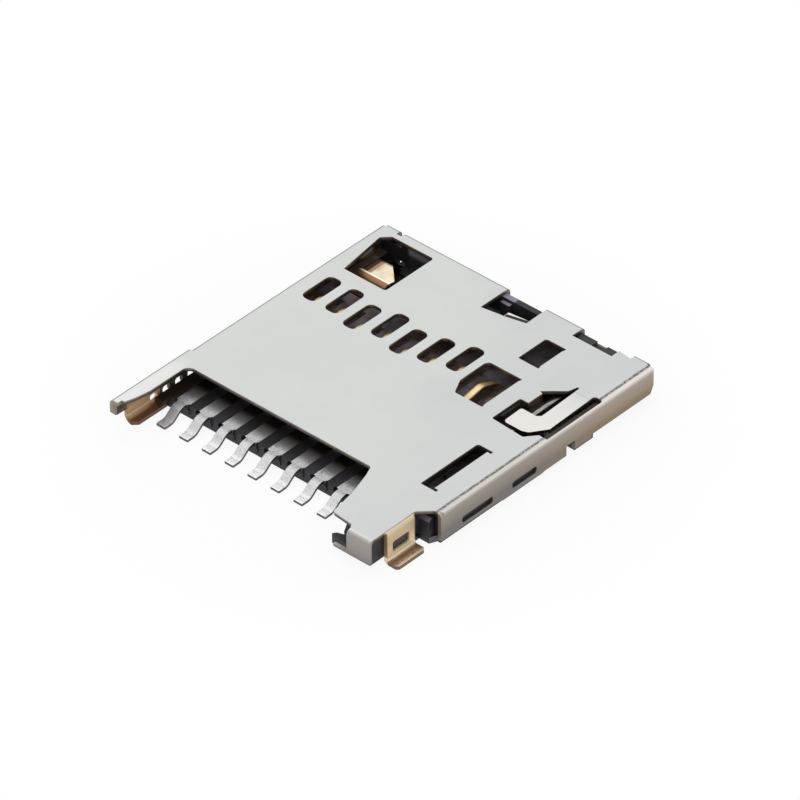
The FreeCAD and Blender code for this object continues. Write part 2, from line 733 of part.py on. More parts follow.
def shell_tabs():
    # Tongues of the top that are folded down into the socket, and the pin's leaf spring.
    def tongue(name, edge, depth, low, high):
        path = [(f"{edge} + bend_lap", "shell_height"), (edge, "shell_height", "bend_radius"),
                (edge, f"shell_height - {depth}")]
        return strip(name, "end", path, "shell_gauge", "left", low, high)

    tabs = [
        tongue("first_guide", "guide_left", "guide_depth",
               "first_window_front + relief_width", "first_window_rear - relief_width"),
        tongue("second_guide", "guide_left", "guide_depth",
               "square_window_front + relief_width", "square_window_rear - relief_width"),
        tongue("slider_rail", "rail_left", "rail_depth",
               "rail_slot_front + relief_width", "rail_slot_rear - relief_width"),
    ]
    fence = [("fence_x - bend_lap", "shell_height"), ("fence_x", "shell_height", "bend_radius"),
             ("fence_x", "shell_height - pin_fence_depth")]
    fence_rear = "leaf_root - 4 * leaf_gap - relief_depth"
    tabs.append(strip("pin_fence", "end", fence, "shell_gauge", "right",
                      f"{fence_rear} - pin_fence_length", fence_rear))
    lip = [
        ("stop_lip_left", "stop_lip_front - shell_gauge"),
        ("stop_notch_right", "stop_edge + stop_lean - shell_gauge"),
        ("stop_notch_right - relief_depth", "stop_edge + stop_lean + stop_lip_reach / 2"),
        ("stop_lip_left", "stop_lip_front + stop_lip_reach"),
    ]
    tabs.append(prism("stop_lip", "top", lip, "shell_height - stop_lip_depth",
                      "shell_height - stop_lip_drop"))
    bent = strip("leaf_bend", "side", [
        ("leaf_root + leaf_gap", "plate_bottom"),
        ("leaf_root", "plate_bottom", "beam_bend"),
        ("leaf_tip - shell_gauge", "plate_bottom - leaf_drop"),
    ], "shell_gauge", "right", "leaf_toe - shell_gauge", "right")
    blank = prism("leaf_blank", "top", [
        ("leaf_left", "leaf_root + leaf_gap"),
        ("leaf_left", "leaf_tip + leaf_toe_length + leaf_gap / 2", "relief_depth"),
        ("leaf_left - shell_gauge", "leaf_tip + leaf_toe_length"),
        ("leaf_toe", "leaf_tip + leaf_toe_length", "relief_depth"),
        ("leaf_toe", "leaf_tip + relief_depth", "relief_depth / 2"),
        ("leaf_toe + relief_depth", "leaf_tip"),
        ("leaf_left", "leaf_tip", "relief_depth"),
        ("leaf_left + leaf_gap", "leaf_tip + relief_depth", "relief_depth"),
        ("leaf_right", "leaf_tip + leaf_heel_cut"),
        ("leaf_right", "leaf_root + leaf_gap"),
    ], "plate_bottom - 3 * leaf_drop", "shell_height")
    tabs.append(common("leaf", [bent, blank]))
    sill = [
        ("front_wall_left + shell_gauge", "front + shell_gauge / 3"),
        ("front_wall_left + shell_gauge", "front + sill_depth"),
        ("front_wall_left - sill_length", "front + sill_depth", "relief_depth / 2"),
        ("front_wall_left - sill_length", "front + shell_gauge / 3", "relief_depth / 2"),
    ]
    tabs.append(prism("sill", "top", sill, "front_wall_gap - sill_gauge / 2",
                      "front_wall_gap + sill_gauge / 2"))
    return tabs


def shell():
    folded = join("folded", [shell_plate()] + shell_walls())
    punched = cut("punched", folded, shell_openings() + [leaf_slot()] + wall_cuts())
    return join("shell", [punched] + shell_tabs())


def tip_shift(number):
    # The supply contacts meet the card early, and one contact meets it late.
    return {4: " - early_lead", 6: " - early_lead", 2: " + late_lag"}.get(number, "")


def contact_middle(number):
    return f"first_contact + {8 - number} * contact_pitch"


def contact(number):
    # A sprung contact: solder tail, shoulder seated in the base, and a beam with an arched tip.
    middle = contact_middle(number)
    tip = f"apex{tip_shift(number)}"
    path = [
        ("tail_tip", "0"),
        ("tail_tip + tail_flat", "0", "tail_bend"),
        ("tail_tip + 2 * tail_flat + fit", "contact_seat", "tail_bend"),
        ("beam_root", "contact_seat", "beam_bend"),
        (tip, "contact_seat + contact_rise", "tip_bend"),
        (f"{tip} + tip_length", "contact_seat + contact_rise - tip_fall"),
    ]
    name = f"contact_{number}"
    bent = strip(name + "_bend", "side", path, "contact_gauge", "left",
                 f"{middle} - shoulder_width", f"{middle} + shoulder_width")
    half = [
        ("tail_width / 2", "tail_tip - shell_gauge"),
        ("tail_width / 2", "bar_front + 3 * fit"),
        ("shoulder_width / 2", "bar_front + 3 * fit"),
        ("shoulder_width / 2", "bar_front + 2 * shoulder_width"),
        ("tail_width / 2 + relief_depth / 2", "bar_front + 3 * shoulder_width"),
        ("tail_width / 2", "beam_root"),
        ("tip_width / 2", f"{tip} - tip_length"),
        ("tip_width / 2", f"{tip} + 2 * tip_length"),
    ]
    right = [(f"{middle} + ({x})", y) for x, y in half]
    left = [(f"{middle} - ({x})", f"{y}") for x, y in reversed(half)]
    blank = prism(name + "_blank", "top", right + left, "-contact_gauge", "plate_bottom")
    return common(name, [bent, blank])


def housing_walls():
    # The moulded base: floor, slider channel, rear wall, front bar and front right block.
    side = ("channel_right", "in_right - fit")
    wall_z = ("0", "wall_top")
    solids = [
        block("floor", ("in_left + fit", "channel_left"), ("bar_front", "in_rear - fit"),
              ("0", "floor_height")),
        block("channel", ("channel_left", "in_right - fit"),
              ("right_wall_front + shell_gauge", "in_rear - fit"), ("0", "channel_floor")),
        block("channel_mouth", ("channel_left", "block_right"),
              ("corner_rear", "right_wall_front + shell_gauge"), ("0", "channel_floor")),
        block("side_wall", side, ("right_wall_front + shell_gauge", "in_rear - fit"), wall_z),
        block("back_wall", ("in_left + 2 * fit", "in_right - bend_radius"),
              ("inner_rear", "in_rear - fit"), wall_z),
        block("left_lobe", ("in_left + fit", "in_left + front_lobe"),
              ("bar_front - front_lobe", "bar_front"), ("2 * shell_gauge", "floor_height")),
        block("pivot_boss", ("pivot_x - pivot_boss_size / 2", "pivot_x + pivot_boss_size / 2"),
              ("boss_front", "inner_rear"), ("0", "cam_top")),
        block("stop_post", ("stop_notch_left + fit", "stop_notch_left + 3 * shell_gauge"),
              ("inner_rear - shell_gauge", "rear - shell_gauge / 2"), ("0", "wall_top - shell_gauge")),
        block("stop_sill", ("stop_notch_left + 3 * shell_gauge", "stop_notch_right - relief_depth"),
              ("inner_rear", "rear - shell_gauge"), ("0", "wall_top - shell_gauge / 2")),
        block("left_post", ("post_notch_left + relief_depth", "post_notch_left + 5 * shell_gauge"),
              ("inner_rear - shell_gauge", "in_rear - fit"), wall_z),
        block("right_post", ("post_notch_right - 4 * shell_gauge", "post_notch_right - relief_depth"),
              ("inner_rear - shell_gauge", "in_rear - fit"), wall_z),
    ]
    for number in range(8, 1, -1):
        gap = f"{contact_middle(number)} + contact_pitch / 2"
        for name, way in (("left", "-"), ("right", "+")):
            centre = f"{gap} {way} (contact_pitch / 2 - tail_width / 2 - slot_gap - rib_bump / 2)"
            solids.append(block(f"bump_{name}_{number}",
                                (f"{centre} - rib_bump / 2", f"{centre} + rib_bump / 2"),
                                ("bar_front - relief_depth", "bar_front + 2 * fit"),
                                ("shell_gauge", "floor_height + bump_height")))
    ramp = [
        ("finger_right - rib_bump", "bar_front - front_lobe"),
        ("finger_right - rib_bump", "bar_front"),
        ("channel_left", "bar_front"),
        ("front_wall_left + fit", "bar_front"),
        ("front_wall_left + fit", "nose_front"),
        ("nose_left", "nose_front"),
        ("nose_left - relief_depth", "nose_front + relief_depth"),
        ("nose_left", "nose_front + nose_depth - relief_depth"),
        ("nose_left + nose_reach", "nose_front + nose_depth"),
        ("nose_left + nose_reach / 2", "nose_front + nose_depth + relief_depth"),
        ("nose_left - relief_depth", "nose_front + nose_length"),
    ]
    solids.append(prism("ramp", "top", ramp, "channel_floor", "floor_height"))
    solids.append(block("block_floor", ("front_wall_left", "block_right - 2 * block_wall"),
                        ("front + 3 * shell_gauge", "corner_rear"), ("shell_gauge / 3", "channel_floor")))
    solids.append(block("block_front", ("front_wall_left + block_wall + fit", "block_right"),
                        ("front + shell_gauge + fit", "front + shell_gauge + fit + block_wall"),
                        ("block_lift", "wall_top")))
    solids.append(block("block_side", ("block_right - block_wall", "block_right"),
                        ("front + shell_gauge + fit", "corner_rear + block_wall"),
                        ("block_lift", "wall_top")))
    # Behind the tab: a chamfered ridge, and a deep recess between it and the right wall.
    foot = [
        ("block_right - block_wall", "ridge_front"),
        ("block_right - block_wall + ridge_width + block_wall", "ridge_front"),
        ("in_right - relief_depth", "right_wall_front + shell_gauge"),
        ("in_right - relief_depth", "right_wall_front + 2 * shell_gauge"),
        ("block_right - block_wall", "right_wall_front + 2 * shell_gauge"),
    ]
    solids.append(prism("ridge_foot", "top", foot, "shell_gauge / 3", "ridge_foot_height"))
    ridge = [
        ("ridge_front", "shell_gauge / 3"),
        ("ridge_front + ridge_length", "shell_gauge / 3"),
        ("ridge_front + ridge_length", "wall_top - ridge_chamfer"),
        ("ridge_front + ridge_chamfer", "wall_top - ridge_chamfer"),
        ("ridge_front", "wall_top - 2 * ridge_chamfer"),
    ]
    solids.append(prism("ridge", "side", ridge, "block_right - block_wall",
                        "block_right + ridge_width"))
    solids.append(block("ridge_root", ("block_right - block_wall", "block_right"),
                        ("corner_rear", "right_wall_front + 2 * shell_gauge"), ("block_lift", "wall_top")))
    return solids


def housing_latches():
    # Lugs that stand in the shell's slots and hold it down.
    slot_z = ("latch_slot_low + fit", "latch_slot_low + latch_slot_height - 3 * fit")
    x = ("in_right - side_wall", "in_right + latch_reach / 2")
    rear_slot = "front_slot + slot_spacing + relief_depth"
    tab_low = "tab_front + (tab_length - tab_window_length) / 2"
    tab_inner = "corner_edge - shell_gauge / 2"
    return [
        block("front_latch", x,
              ("front_slot + relief_depth", "front_slot + front_slot_length - relief_depth"), slot_z),
        block("rear_latch", x,
              (f"{rear_slot} + relief_depth", f"{rear_slot} + rear_slot_length - relief_depth"), slot_z),
        block("tab_latch", ("block_right - block_wall", f"{tab_inner} + latch_reach"),
              (f"{tab_low} + 2 * fit", f"{tab_low} + tab_window_length - 2 * fit"),
              ("tab_window_low + 2 * fit", "tab_window_low + tab_window_height - 2 * fit")),
    ]


def housing_cuts():
    # Seats and pockets for the contacts, the switch and the pin.
    half = "shoulder_width / 2 + slot_gap"
    tools = []
    for number in range(1, 9):
        middle = contact_middle(number)
        tip = f"apex{tip_shift(number)}"
        tools.append(block(f"seat_{number}", (f"{middle} - ({half})", f"{middle} + {half}"),
                           ("bar_front - 2 * front_lobe", "beam_root"),
                           ("contact_seat", "floor_height + cut_margin")))
        tools.append(block(f"pocket_{number}",
                           (f"{middle} - (tail_width / 2 + pin_gap)", f"{middle} + tail_width / 2 + pin_gap"),
                           ("beam_root", f"{tip} + tip_length + cut_margin"),
                           ("web_height", "floor_height + cut_margin")))
    tools.append(prism("tail_relief", "side", [
        ("bar_front - 2 * front_lobe", "-shell_gauge"),
        ("bar_front - 2 * front_lobe", "contact_seat"),
        ("bar_front - relief_depth / 2", "contact_seat"),
        ("bar_front - relief_depth / 2", "-shell_gauge"),
    ], "first_contact - contact_pitch / 2", "last_contact + contact_pitch / 3"))
    tools.append(block("post_gap",
                       ("post_notch_left + 5 * shell_gauge", "post_notch_right - 4 * shell_gauge"),
                       ("inner_rear - cut_margin", "in_rear"),
                       ("post_rail_height + relief_depth", "wall_top + cut_margin")))
    tools.append(block("corner_relief", ("in_left", "rear_wall_left + relief_depth"),
                       ("inner_rear - cut_margin", "in_rear"),
                       ("post_rail_height", "wall_top + cut_margin")))
    tools.append(rod("pivot_hole", "top", ("pivot_x", "pivot_y"), "pin_radius + pin_gap", "channel_floor",
                     "wall_top"))
    tools.append(block("leaf_relief", ("leaf_left", "leaf_right + leaf_gap / 3"),
                       ("leaf_tip - leaf_gap", "leaf_root"),
                       ("plate_bottom - leaf_drop - 2 * fit", "plate_bottom")))
    window_right = "left + switch_window_inset + switch_window_width"
    tools.append(block("switch_pocket", ("switch_left - 2 * switch_spur", f"{window_right} + shell_gauge"),
                       ("rear - switch_window_back - switch_window_length", "inner_rear"),
                       ("pocket_floor", "wall_top + cut_margin")))
    for name, tail_left, top in (("leaf", "switch_left", "switch_seat"),
                                 ("pad", "switch_left + switch_spacing", "pocket_floor")):
        tools.append(block(name + "_tail_slot",
                           (f"{tail_left} - slot_gap", f"{tail_left} + switch_tail_width + slot_gap"),
                           ("inner_rear - cut_margin", "in_rear"),
                           ("-shell_gauge", f"{top} + switch_gauge + slot_gap")))
    return tools


def housing():
    solid = join("base", housing_walls() + housing_latches())
    hollow = cut("hollow_base", solid, housing_cuts())
    seat = rod("spring_seat", "end", ("spring_x", "spring_z"), "spring_radius - 3 * spring_wire + pin_gap",
               "inner_rear - spring_boss_length", "inner_rear")
    ledge = block("switch_ledge",
                  ("switch_left - shell_gauge", "switch_left + switch_spacing - shell_gauge"),
                  ("inner_rear - 3 * shell_gauge", "inner_rear"), ("0", "switch_seat"))
    slot = block("ledge_slot", ("switch_left - slot_gap", "switch_left + switch_tail_width + slot_gap"),
                 ("inner_rear - 2 * switch_bend", "in_rear"), ("-shell_gauge", "switch_seat + cut_margin"))
    return join("housing", [hollow, seat, cut("switch_step", ledge, [slot])])


def slider():
    # The carriage that the card pushes. A heart-shaped cam track in its top guides the pin.
    head_z = ("slider_bottom", "slider_top")
    solids = [
        block("slider_head", ("slider_left", "slider_right"), ("head_front", "head_rear"), head_z),
        block("slider_arm", ("rail_left - slider_gap - arm_width", "rail_left - slider_gap"),
              ("arm_front", "head_front"), head_z),
        block("cam_plate", ("slider_left", "cam_right"), ("head_rear", "slider_rear"),
              ("slider_bottom", "cam_top")),
    ]
    body = join("slider_body", solids)
    apex_y = "home - slider_travel"
    left_lane = "pivot_x - cam_side_step"
    high = "shell_height"
    track = prism("track_edge", "top", [
        ("pivot_x - lane", "home + lane", "lane / 2"),
        ("pivot_x + lane", "home + lane", "lane / 2"),
        ("pivot_x + lane", "home - lane"),
        ("pivot_x + cam_swing + lane", f"{apex_y} - lane / 4"),
        ("pivot_x + cam_swing + lane", f"{apex_y} - lane", "lane / 2"),
        ("pivot_x + cam_swing / 2", f"{apex_y} - lane", "lane / 2"),
        ("pivot_x", f"{apex_y} + lane / 3", "lane / 4"),
        (left_lane, f"{apex_y} - lane", "lane / 2"),
        (f"{left_lane} - lane", f"{apex_y} - lane", "lane / 2"),
        (f"{left_lane} - lane", f"home - 5 * lane"),
        ("pivot_x - lane", "home - lane"),
    ], "cam_floor", high)
    island = prism("track_heart", "top", [
        ("pivot_x - cam_side_step + lane", f"{apex_y} + 3 * lane", "lane / 4"),
        ("pivot_x - lane / 6", f"{apex_y} + 5 * lane", "lane / 3"),
        ("pivot_x + cam_swing - lane - pin_gap / 2", f"{apex_y} + 5 * lane / 2", "lane / 4"),
        ("pivot_x - lane + cam_swing / 4", "home - slider_travel / 4", "lane / 6"),
        ("pivot_x - cam_side_step + lane", "home - slider_travel / 3", "lane / 6"),
    ], "cam_floor", high)
    groove = cut("track", track, [island])
    rail_groove = block("rail_groove", ("rail_left - slider_gap", "rail_left + shell_gauge + slider_gap"),
                        ("head_front - slider_gap", "head_rear + slider_gap"),
                        ("shell_height - rail_depth - slider_gap", high))
    root_slit = block("root_slit", ("lock_x - lock_gauge / 2 - fit", "lock_x + lock_gauge / 2 + fit"),
                      ("head_front - slider_gap", "head_front + lock_root"), ("lock_low - fit", high))
    boss = rod("slider_boss", "end", ("spring_x", "spring_z"), "spring_radius - 3 * spring_wire + pin_gap",
               "head_rear", "head_rear + spring_boss_length")
    return join("slider", [cut("slider_cut", body, [groove, rail_groove, root_slit]), boss])


def knuckle(name, y):
    # The outside of a tight bend in the pin's wire.
    ball = doc.addObject("Part::Sphere", name)
    ball.setExpression("Radius", spell("pin_radius"))
    for axis, text in zip("xyz", ("pivot_x", y, "pin_z")):
        ball.setExpression(f"Placement.Base.{axis}", spell(text))
    return ball


def cam_pin():
    # Bent wire: one end turns in the base, the other follows the slider's track.
    return join("cam_pin", [
        rod("pin_pivot", "top", ("pivot_x", "pivot_y"), "pin_radius", "slider_bottom", "pin_z"),
        knuckle("pin_rear_bend", "pivot_y"),
        rod("pin_shank", "end", ("pivot_x", "pin_z"), "pin_radius", "home", "pivot_y"),
        knuckle("pin_front_bend", "home"),
        rod("pin_follower", "top", ("pivot_x", "home"), "pin_radius", "cam_floor + pin_gap", "pin_z"),
    ])


def eject_spring():
    # The coil between the slider and the rear wall.
    coil = doc.addObject("Part::Helix", "coil")
    coil.Placement.Rotation = FreeCAD.Rotation(V(0, 0, 1), V(0, 1, 0))
    start, end = "head_rear + spring_wire + fit", "inner_rear - spring_wire - fit"
    length = f"({spell(end)} - ({spell(start)}))"
    coil.setExpression("Radius", spell("spring_radius"))
    coil.setExpression("Height", length)
    coil.setExpression("Pitch", f"{length} / Sizes.spring_turns")
    wire = doc.addObject("Part::RegularPolygon", "wire_section")
    wire.Polygon = 5
    wire.setExpression("Circumradius", spell("spring_wire"))
    for axis, text in zip("xyz", ("spring_x", start, "spring_z")):
        coil.setExpression(f"Placement.Base.{axis}", spell(text))
    for axis, text in zip("xyz", ("spring_x + spring_radius", start, "spring_z")):
        wire.setExpression(f"Placement.Base.{axis}", spell(text))
    spring = doc.addObject("Part::Sweep", "eject_spring")
    spring.Sections = [wire]
    spring.Spine = (coil, [])
    spring.Solid = True
    spring.Frenet = True
    return spring


def card_lock():
    # Leaf in the slider's slit. Its bent nose catches the notch in the card's edge.
    front = "head_front - lock_length"
    path = [
        ("lock_x - lock_gauge / 2", "head_front + lock_root - fit"),
        ("lock_x - lock_gauge / 2", "head_front - lock_root / 2", "lock_gauge"),
        ("lock_x - lock_gauge / 2 - lock_reach", f"{front} + lock_root", "lock_gauge"),
        ("lock_x - lock_gauge", front),
    ]
    return strip("card_lock", "top", path, "lock_gauge", "left", "lock_low", "slider_top - slider_gap")


def switch_leaf():
    # The moving half of the card detection switch: a raised plateau with its front edge turned down.
    front = "(inner_rear - switch_length)"
    rear_edge = f"{front} + switch_top_length"
    path = [
        ("switch_tail_end", "0"),
        ("inner_rear - switch_bend", "0", "switch_bend / 2"),
        ("inner_rear - switch_bend", "switch_seat", "switch_bend / 2"),
        ("inner_rear - 3 * switch_bend", "switch_seat", "switch_bend"),
        (rear_edge, "switch_seat + switch_rise", "switch_bend"),
        (front, "switch_seat + switch_rise", "2 * switch_bend"),
        (f"{front} - switch_tip_length", "switch_seat + switch_rise / 4"),
    ]
    bent = strip("switch_leaf_bend", "side", path, "switch_gauge", "right",
                 "switch_left - 2 * switch_spur", "switch_left + switch_width + shell_gauge")
    tail_right = "switch_left + switch_tail_width"
    right = "switch_left + switch_width"
    blank = prism("switch_leaf_blank", "top", [
        ("switch_left", "switch_tail_end + shell_gauge"),
        ("switch_left", f"{front} + switch_spur", "relief_depth"),
        ("switch_left - switch_spur", f"{front} + switch_spur / 4", "relief_depth / 2"),
        ("switch_left - switch_spur", f"{front} - switch_tip_length - shell_gauge"),
        (f"{right} - shell_gauge", f"{front} - switch_tip_length - shell_gauge"),
        (right, f"{front} + switch_top_length / 3", "relief_depth"),
        (f"{right} - 2 * switch_tail_width", f"{rear_edge} + shell_gauge", "relief_depth"),
        (f"{tail_right} + shell_gauge", "inner_rear - 5 * switch_bend / 2", "relief_depth"),
        (tail_right, "inner_rear - 2 * switch_bend"),
        (tail_right, "switch_tail_end + shell_gauge"),
    ], "-shell_gauge", "plate_bottom")
    return common("switch_leaf", [bent, blank])


def switch_pad():
    # The fixed half of the switch, which the leaf is pressed down onto.
    path = [
        ("switch_tail_end", "0"),
        ("inner_rear", "0", "switch_bend / 2"),
        ("inner_rear - switch_bend", "pocket_floor", "switch_bend / 2"),
        ("inner_rear - switch_length - switch_pad_length", "pocket_floor"),
    ]
    left, right = "switch_left + shell_gauge", "switch_left + switch_spacing + switch_tail_width"
    bent = strip("switch_pad_bend", "side", path, "switch_gauge", "right", left, f"{right} + shell_gauge")
    foot = "inner_rear - switch_length - switch_pad_length"
    blank = prism("switch_pad_blank", "top", [
        (f"{right} - switch_tail_width", "switch_tail_end + shell_gauge"),
        (f"{right} - switch_tail_width", f"{foot} + switch_pad_length"),
        (left, f"{foot} + switch_pad_length"),
        (left, f"{foot} - shell_gauge"),
        (right, f"{foot} - shell_gauge"),
        (right, "switch_tail_end + shell_gauge"),
    ], "-shell_gauge", "plate_bottom")
    return common("switch_pad", [bent, blank])


pieces = {
    "shell": shell(),
    "housing": housing(),
    "slider": slider(),
    "cam_pin": cam_pin(),
    "eject_spring": eject_spring(),
    "card_lock": card_lock(),
    "switch_leaf": switch_leaf(),
    "switch_pad": switch_pad(),
}
for number in range(1, 9):
    pieces[f"contact_{number}"] = contact(number)
doc.recompute()

for thing in doc.Objects:
    if {"Invalid", "Error"} & set(thing.State):
        raise RuntimeError(f"{thing.Name} could not be built: {thing.State}")
for label, solid in pieces.items():
    solid.Label = label
    shape = solid.Shape
    if shape.isNull() or not shape.isValid() or not shape.Solids:
        raise RuntimeError(f"{label} is not a sound solid")
    print(label, round(shape.Volume, 4), len(shape.Solids))
for label, solid in pieces.items():
    solid.Shape.exportStep(f"parts/{label}.step")
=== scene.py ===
import math

import bpy
from mathutils import Matrix, Vector


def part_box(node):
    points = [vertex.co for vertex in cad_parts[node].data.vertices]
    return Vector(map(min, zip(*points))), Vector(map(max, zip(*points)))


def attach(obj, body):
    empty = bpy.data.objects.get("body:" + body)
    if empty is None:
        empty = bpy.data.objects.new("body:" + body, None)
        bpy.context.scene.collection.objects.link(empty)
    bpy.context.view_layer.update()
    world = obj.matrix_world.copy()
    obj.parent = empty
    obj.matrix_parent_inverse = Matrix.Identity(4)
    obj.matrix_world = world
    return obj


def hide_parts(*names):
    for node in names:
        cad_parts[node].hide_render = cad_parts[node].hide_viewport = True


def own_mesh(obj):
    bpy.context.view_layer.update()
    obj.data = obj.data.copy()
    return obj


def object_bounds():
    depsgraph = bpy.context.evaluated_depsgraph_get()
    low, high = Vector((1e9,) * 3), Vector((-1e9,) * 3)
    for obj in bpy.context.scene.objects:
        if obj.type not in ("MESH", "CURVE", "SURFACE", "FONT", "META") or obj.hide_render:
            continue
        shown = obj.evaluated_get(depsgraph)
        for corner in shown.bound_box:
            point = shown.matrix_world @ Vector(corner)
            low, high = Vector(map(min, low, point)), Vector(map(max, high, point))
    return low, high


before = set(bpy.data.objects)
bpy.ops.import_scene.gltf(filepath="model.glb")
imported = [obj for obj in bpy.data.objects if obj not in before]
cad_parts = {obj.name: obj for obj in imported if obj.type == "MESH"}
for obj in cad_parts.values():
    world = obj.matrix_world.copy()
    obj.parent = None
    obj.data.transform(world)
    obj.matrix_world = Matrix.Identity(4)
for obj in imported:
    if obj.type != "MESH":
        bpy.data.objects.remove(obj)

cadBox = [list(corner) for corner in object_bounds()]
print("frame loaded, with", len(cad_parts), "nodes")

mm = 0.001  # one millimetre in the scene's metres


# Choosing and shaping

working = {
    "merge": 0.0005, "flat": 1.5,  # points this near are one point, faces within this angle one flat
    "sharp": 40, "steps": 2,  # edges sharper than this are rounded, in so many steps
    "smooth": 50, "flatWeight": 60,  # and what is flatter than this is shaded smooth
}


def deselectAll():
    if bpy.context.mode != "OBJECT":
        bpy.ops.object.mode_set(mode="OBJECT")
    bpy.ops.object.select_all(action="DESELECT")


def pick(piece):
    deselectAll()
    piece.select_set(True)
    bpy.context.view_layer.objects.active = piece


def editing(piece, kind="FACE"):
    pick(piece)
    bpy.ops.object.mode_set(mode="EDIT")
    bpy.ops.mesh.select_mode(type=kind)
    bpy.ops.mesh.select_all(action="DESELECT")


def selectInside(piece, low, high):
    # picks the points inside a box
    low, high = Vector(low), Vector(high)
    editing(piece, "VERT")
    bpy.ops.object.mode_set(mode="OBJECT")
    for point in piece.data.vertices:
        point.select = all(low[i] < point.co[i] < high[i] for i in range(3))
    bpy.ops.object.mode_set(mode="EDIT")


def addModifier(piece, kind, **settings):
    pick(piece)
    bpy.ops.object.modifier_add(type=kind)
    modifier = piece.modifiers[-1]
    for name, setting in settings.items():
        setattr(modifier, name, setting)
    bpy.ops.object.modifier_apply(modifier=modifier.name)


def carve(piece, low, high):
    # takes a box out of a piece
    deselectAll()
    low, high = Vector(low), Vector(high)
    bpy.ops.mesh.primitive_cube_add(size=1, location=(low + high) / 2, scale=high - low)
    cutter = bpy.context.active_object
    addModifier(piece, "BOOLEAN", operation="DIFFERENCE", object=cutter, solver="EXACT")
    bpy.data.objects.remove(cutter)


def smooth(piece):
    pick(piece)
    bpy.ops.object.shade_smooth_by_angle(angle=math.radians(working["smooth"]))


def dress(piece, width):
    # rounded edges, with the flats beside them kept flat to the light
    addModifier(piece, "BEVEL", width=width, segments=working["steps"], limit_method="ANGLE",
                angle_limit=math.radians(working["sharp"]), harden_normals=False, use_clamp_overlap=True)
    smooth(piece)
    addModifier(piece, "WEIGHTED_NORMAL", keep_sharp=True, weight=working["flatWeight"])


def nodeCopy(name):
    # the CAD solid again, in millimetres, with its doubles merged and its flats whole
    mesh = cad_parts[name].data.copy()
    mesh.transform(Matrix.Scale(1 / mm, 4))
    mesh.materials.clear()
    piece = bpy.data.objects.new(name + "_shown", mesh)
    bpy.context.scene.collection.objects.link(piece)
    editing(piece)
    bpy.ops.mesh.select_all(action="SELECT")
    bpy.ops.mesh.remove_doubles(threshold=working["merge"])
    bpy.ops.mesh.dissolve_limited(angle_limit=math.radians(working["flat"]))
    bpy.ops.object.mode_set(mode="OBJECT")
    return piece


def markFacing(piece):
    # the way each face looks, kept for the finishes
    facing = piece.data.attributes.new("facing", "FLOAT_VECTOR", "FACE")
    for face in piece.data.polygons:
        facing.data[face.index].vector = face.normal


def seat(piece, body, finish, node):
    # from millimetres to metres, with the place in the mesh, and onto its body instead of the CAD node
    deselectAll()
    markFacing(piece)
    piece.data.transform(piece.matrix_world)
    piece.matrix_world = Matrix.Identity(4)
    piece.data.transform(Matrix.Scale(mm, 4))
    piece.data.materials.clear()
    piece.data.materials.append(finish)
    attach(piece, body)
    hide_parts(node)


def makePiece(name, edge, body, finish):
    # a CAD solid as it is, with rounded edges and its finish
    piece = nodeCopy(name)
    dress(piece, edge)
    seat(piece, body, finish, name)


# Finishes, written as sums on sockets

class Wire:
    # a socket that can be added to, multiplied and so on

    def __init__(self, graph, socket):
        self.graph = graph
        self.socket = socket

    def maths(self, operation, *values):
        return self.graph.node("ShaderNodeMath", {"operation": operation}, dict(enumerate(values)))

    def __add__(self, other):
        return self.maths("ADD", self, other)

    def __radd__(self, other):
        return self.maths("ADD", other, self)

    def __sub__(self, other):
        return self.maths("SUBTRACT", self, other)

    def __rsub__(self, other):
        return self.maths("SUBTRACT", other, self)

    def __mul__(self, other):
        return self.maths("MULTIPLY", self, other)

    def __rmul__(self, other):
        return self.maths("MULTIPLY", other, self)

    def __truediv__(self, other):
        return self.maths("DIVIDE", self, other)

    def __rtruediv__(self, other):
        return self.maths("DIVIDE", other, self)

    def __pow__(self, other):
        return self.maths("POWER", self, other)

    def __rpow__(self, other):
        return self.maths("POWER", other, self)

    def most(self, other):
        return self.maths("MAXIMUM", self, other)

    def size(self):
        return self.maths("ABSOLUTE", self)

    def part(self):
        # what is left after the whole number
        return self.maths("FRACT", self)


class Graph:
    # the nodes of a finish or of the sky, and the one method that adds them

    def __init__(self, tree, target):
        self.tree = tree
        self.target = self.first(target)

    def first(self, kind):
        return next(node for node in self.tree.nodes if node.type == kind)

    def node(self, kind, settings, inputs, output=0):
        node = self.tree.nodes.new(kind)
        for name, setting in settings.items():
            if name == "stops":
                stops = node.color_ramp.elements
                while len(stops) < len(setting):
                    stops.new(1)
                for stop, (position, colour) in zip(stops, setting):
                    stop.position = position
                    stop.color = (*colour, 1)
            else:
                setattr(node, name, setting)
        for name, value in inputs.items():
            if isinstance(value, Wire):
                self.tree.links.new(value.socket, node.inputs[name])
            else:
                node.inputs[name].default_value = value
        return node if output is None else Wire(self, node.outputs[output])

    def ramp(self, value, low, high, start=0.0, end=1.0):
        return self.node("ShaderNodeMapRange", {"interpolation_type": "SMOOTHSTEP"}, {
            "Value": value, "From Min": low, "From Max": high, "To Min": start, "To Max": end})

    def whiteRays(self):
        # the rays of the picture, of gloss and of clear parts, which all see plain white behind the object
        path = self.node("ShaderNodeLightPath", {}, {}, None)
        camera, glossy, through = (Wire(self, path.outputs[f"Is {kind} Ray"])
                                   for kind in ("Camera", "Glossy", "Transmission"))
        return camera.most(glossy).most(through)

    def feed(self, socket, wire):
        self.tree.links.new(wire.socket, self.target.inputs[socket])


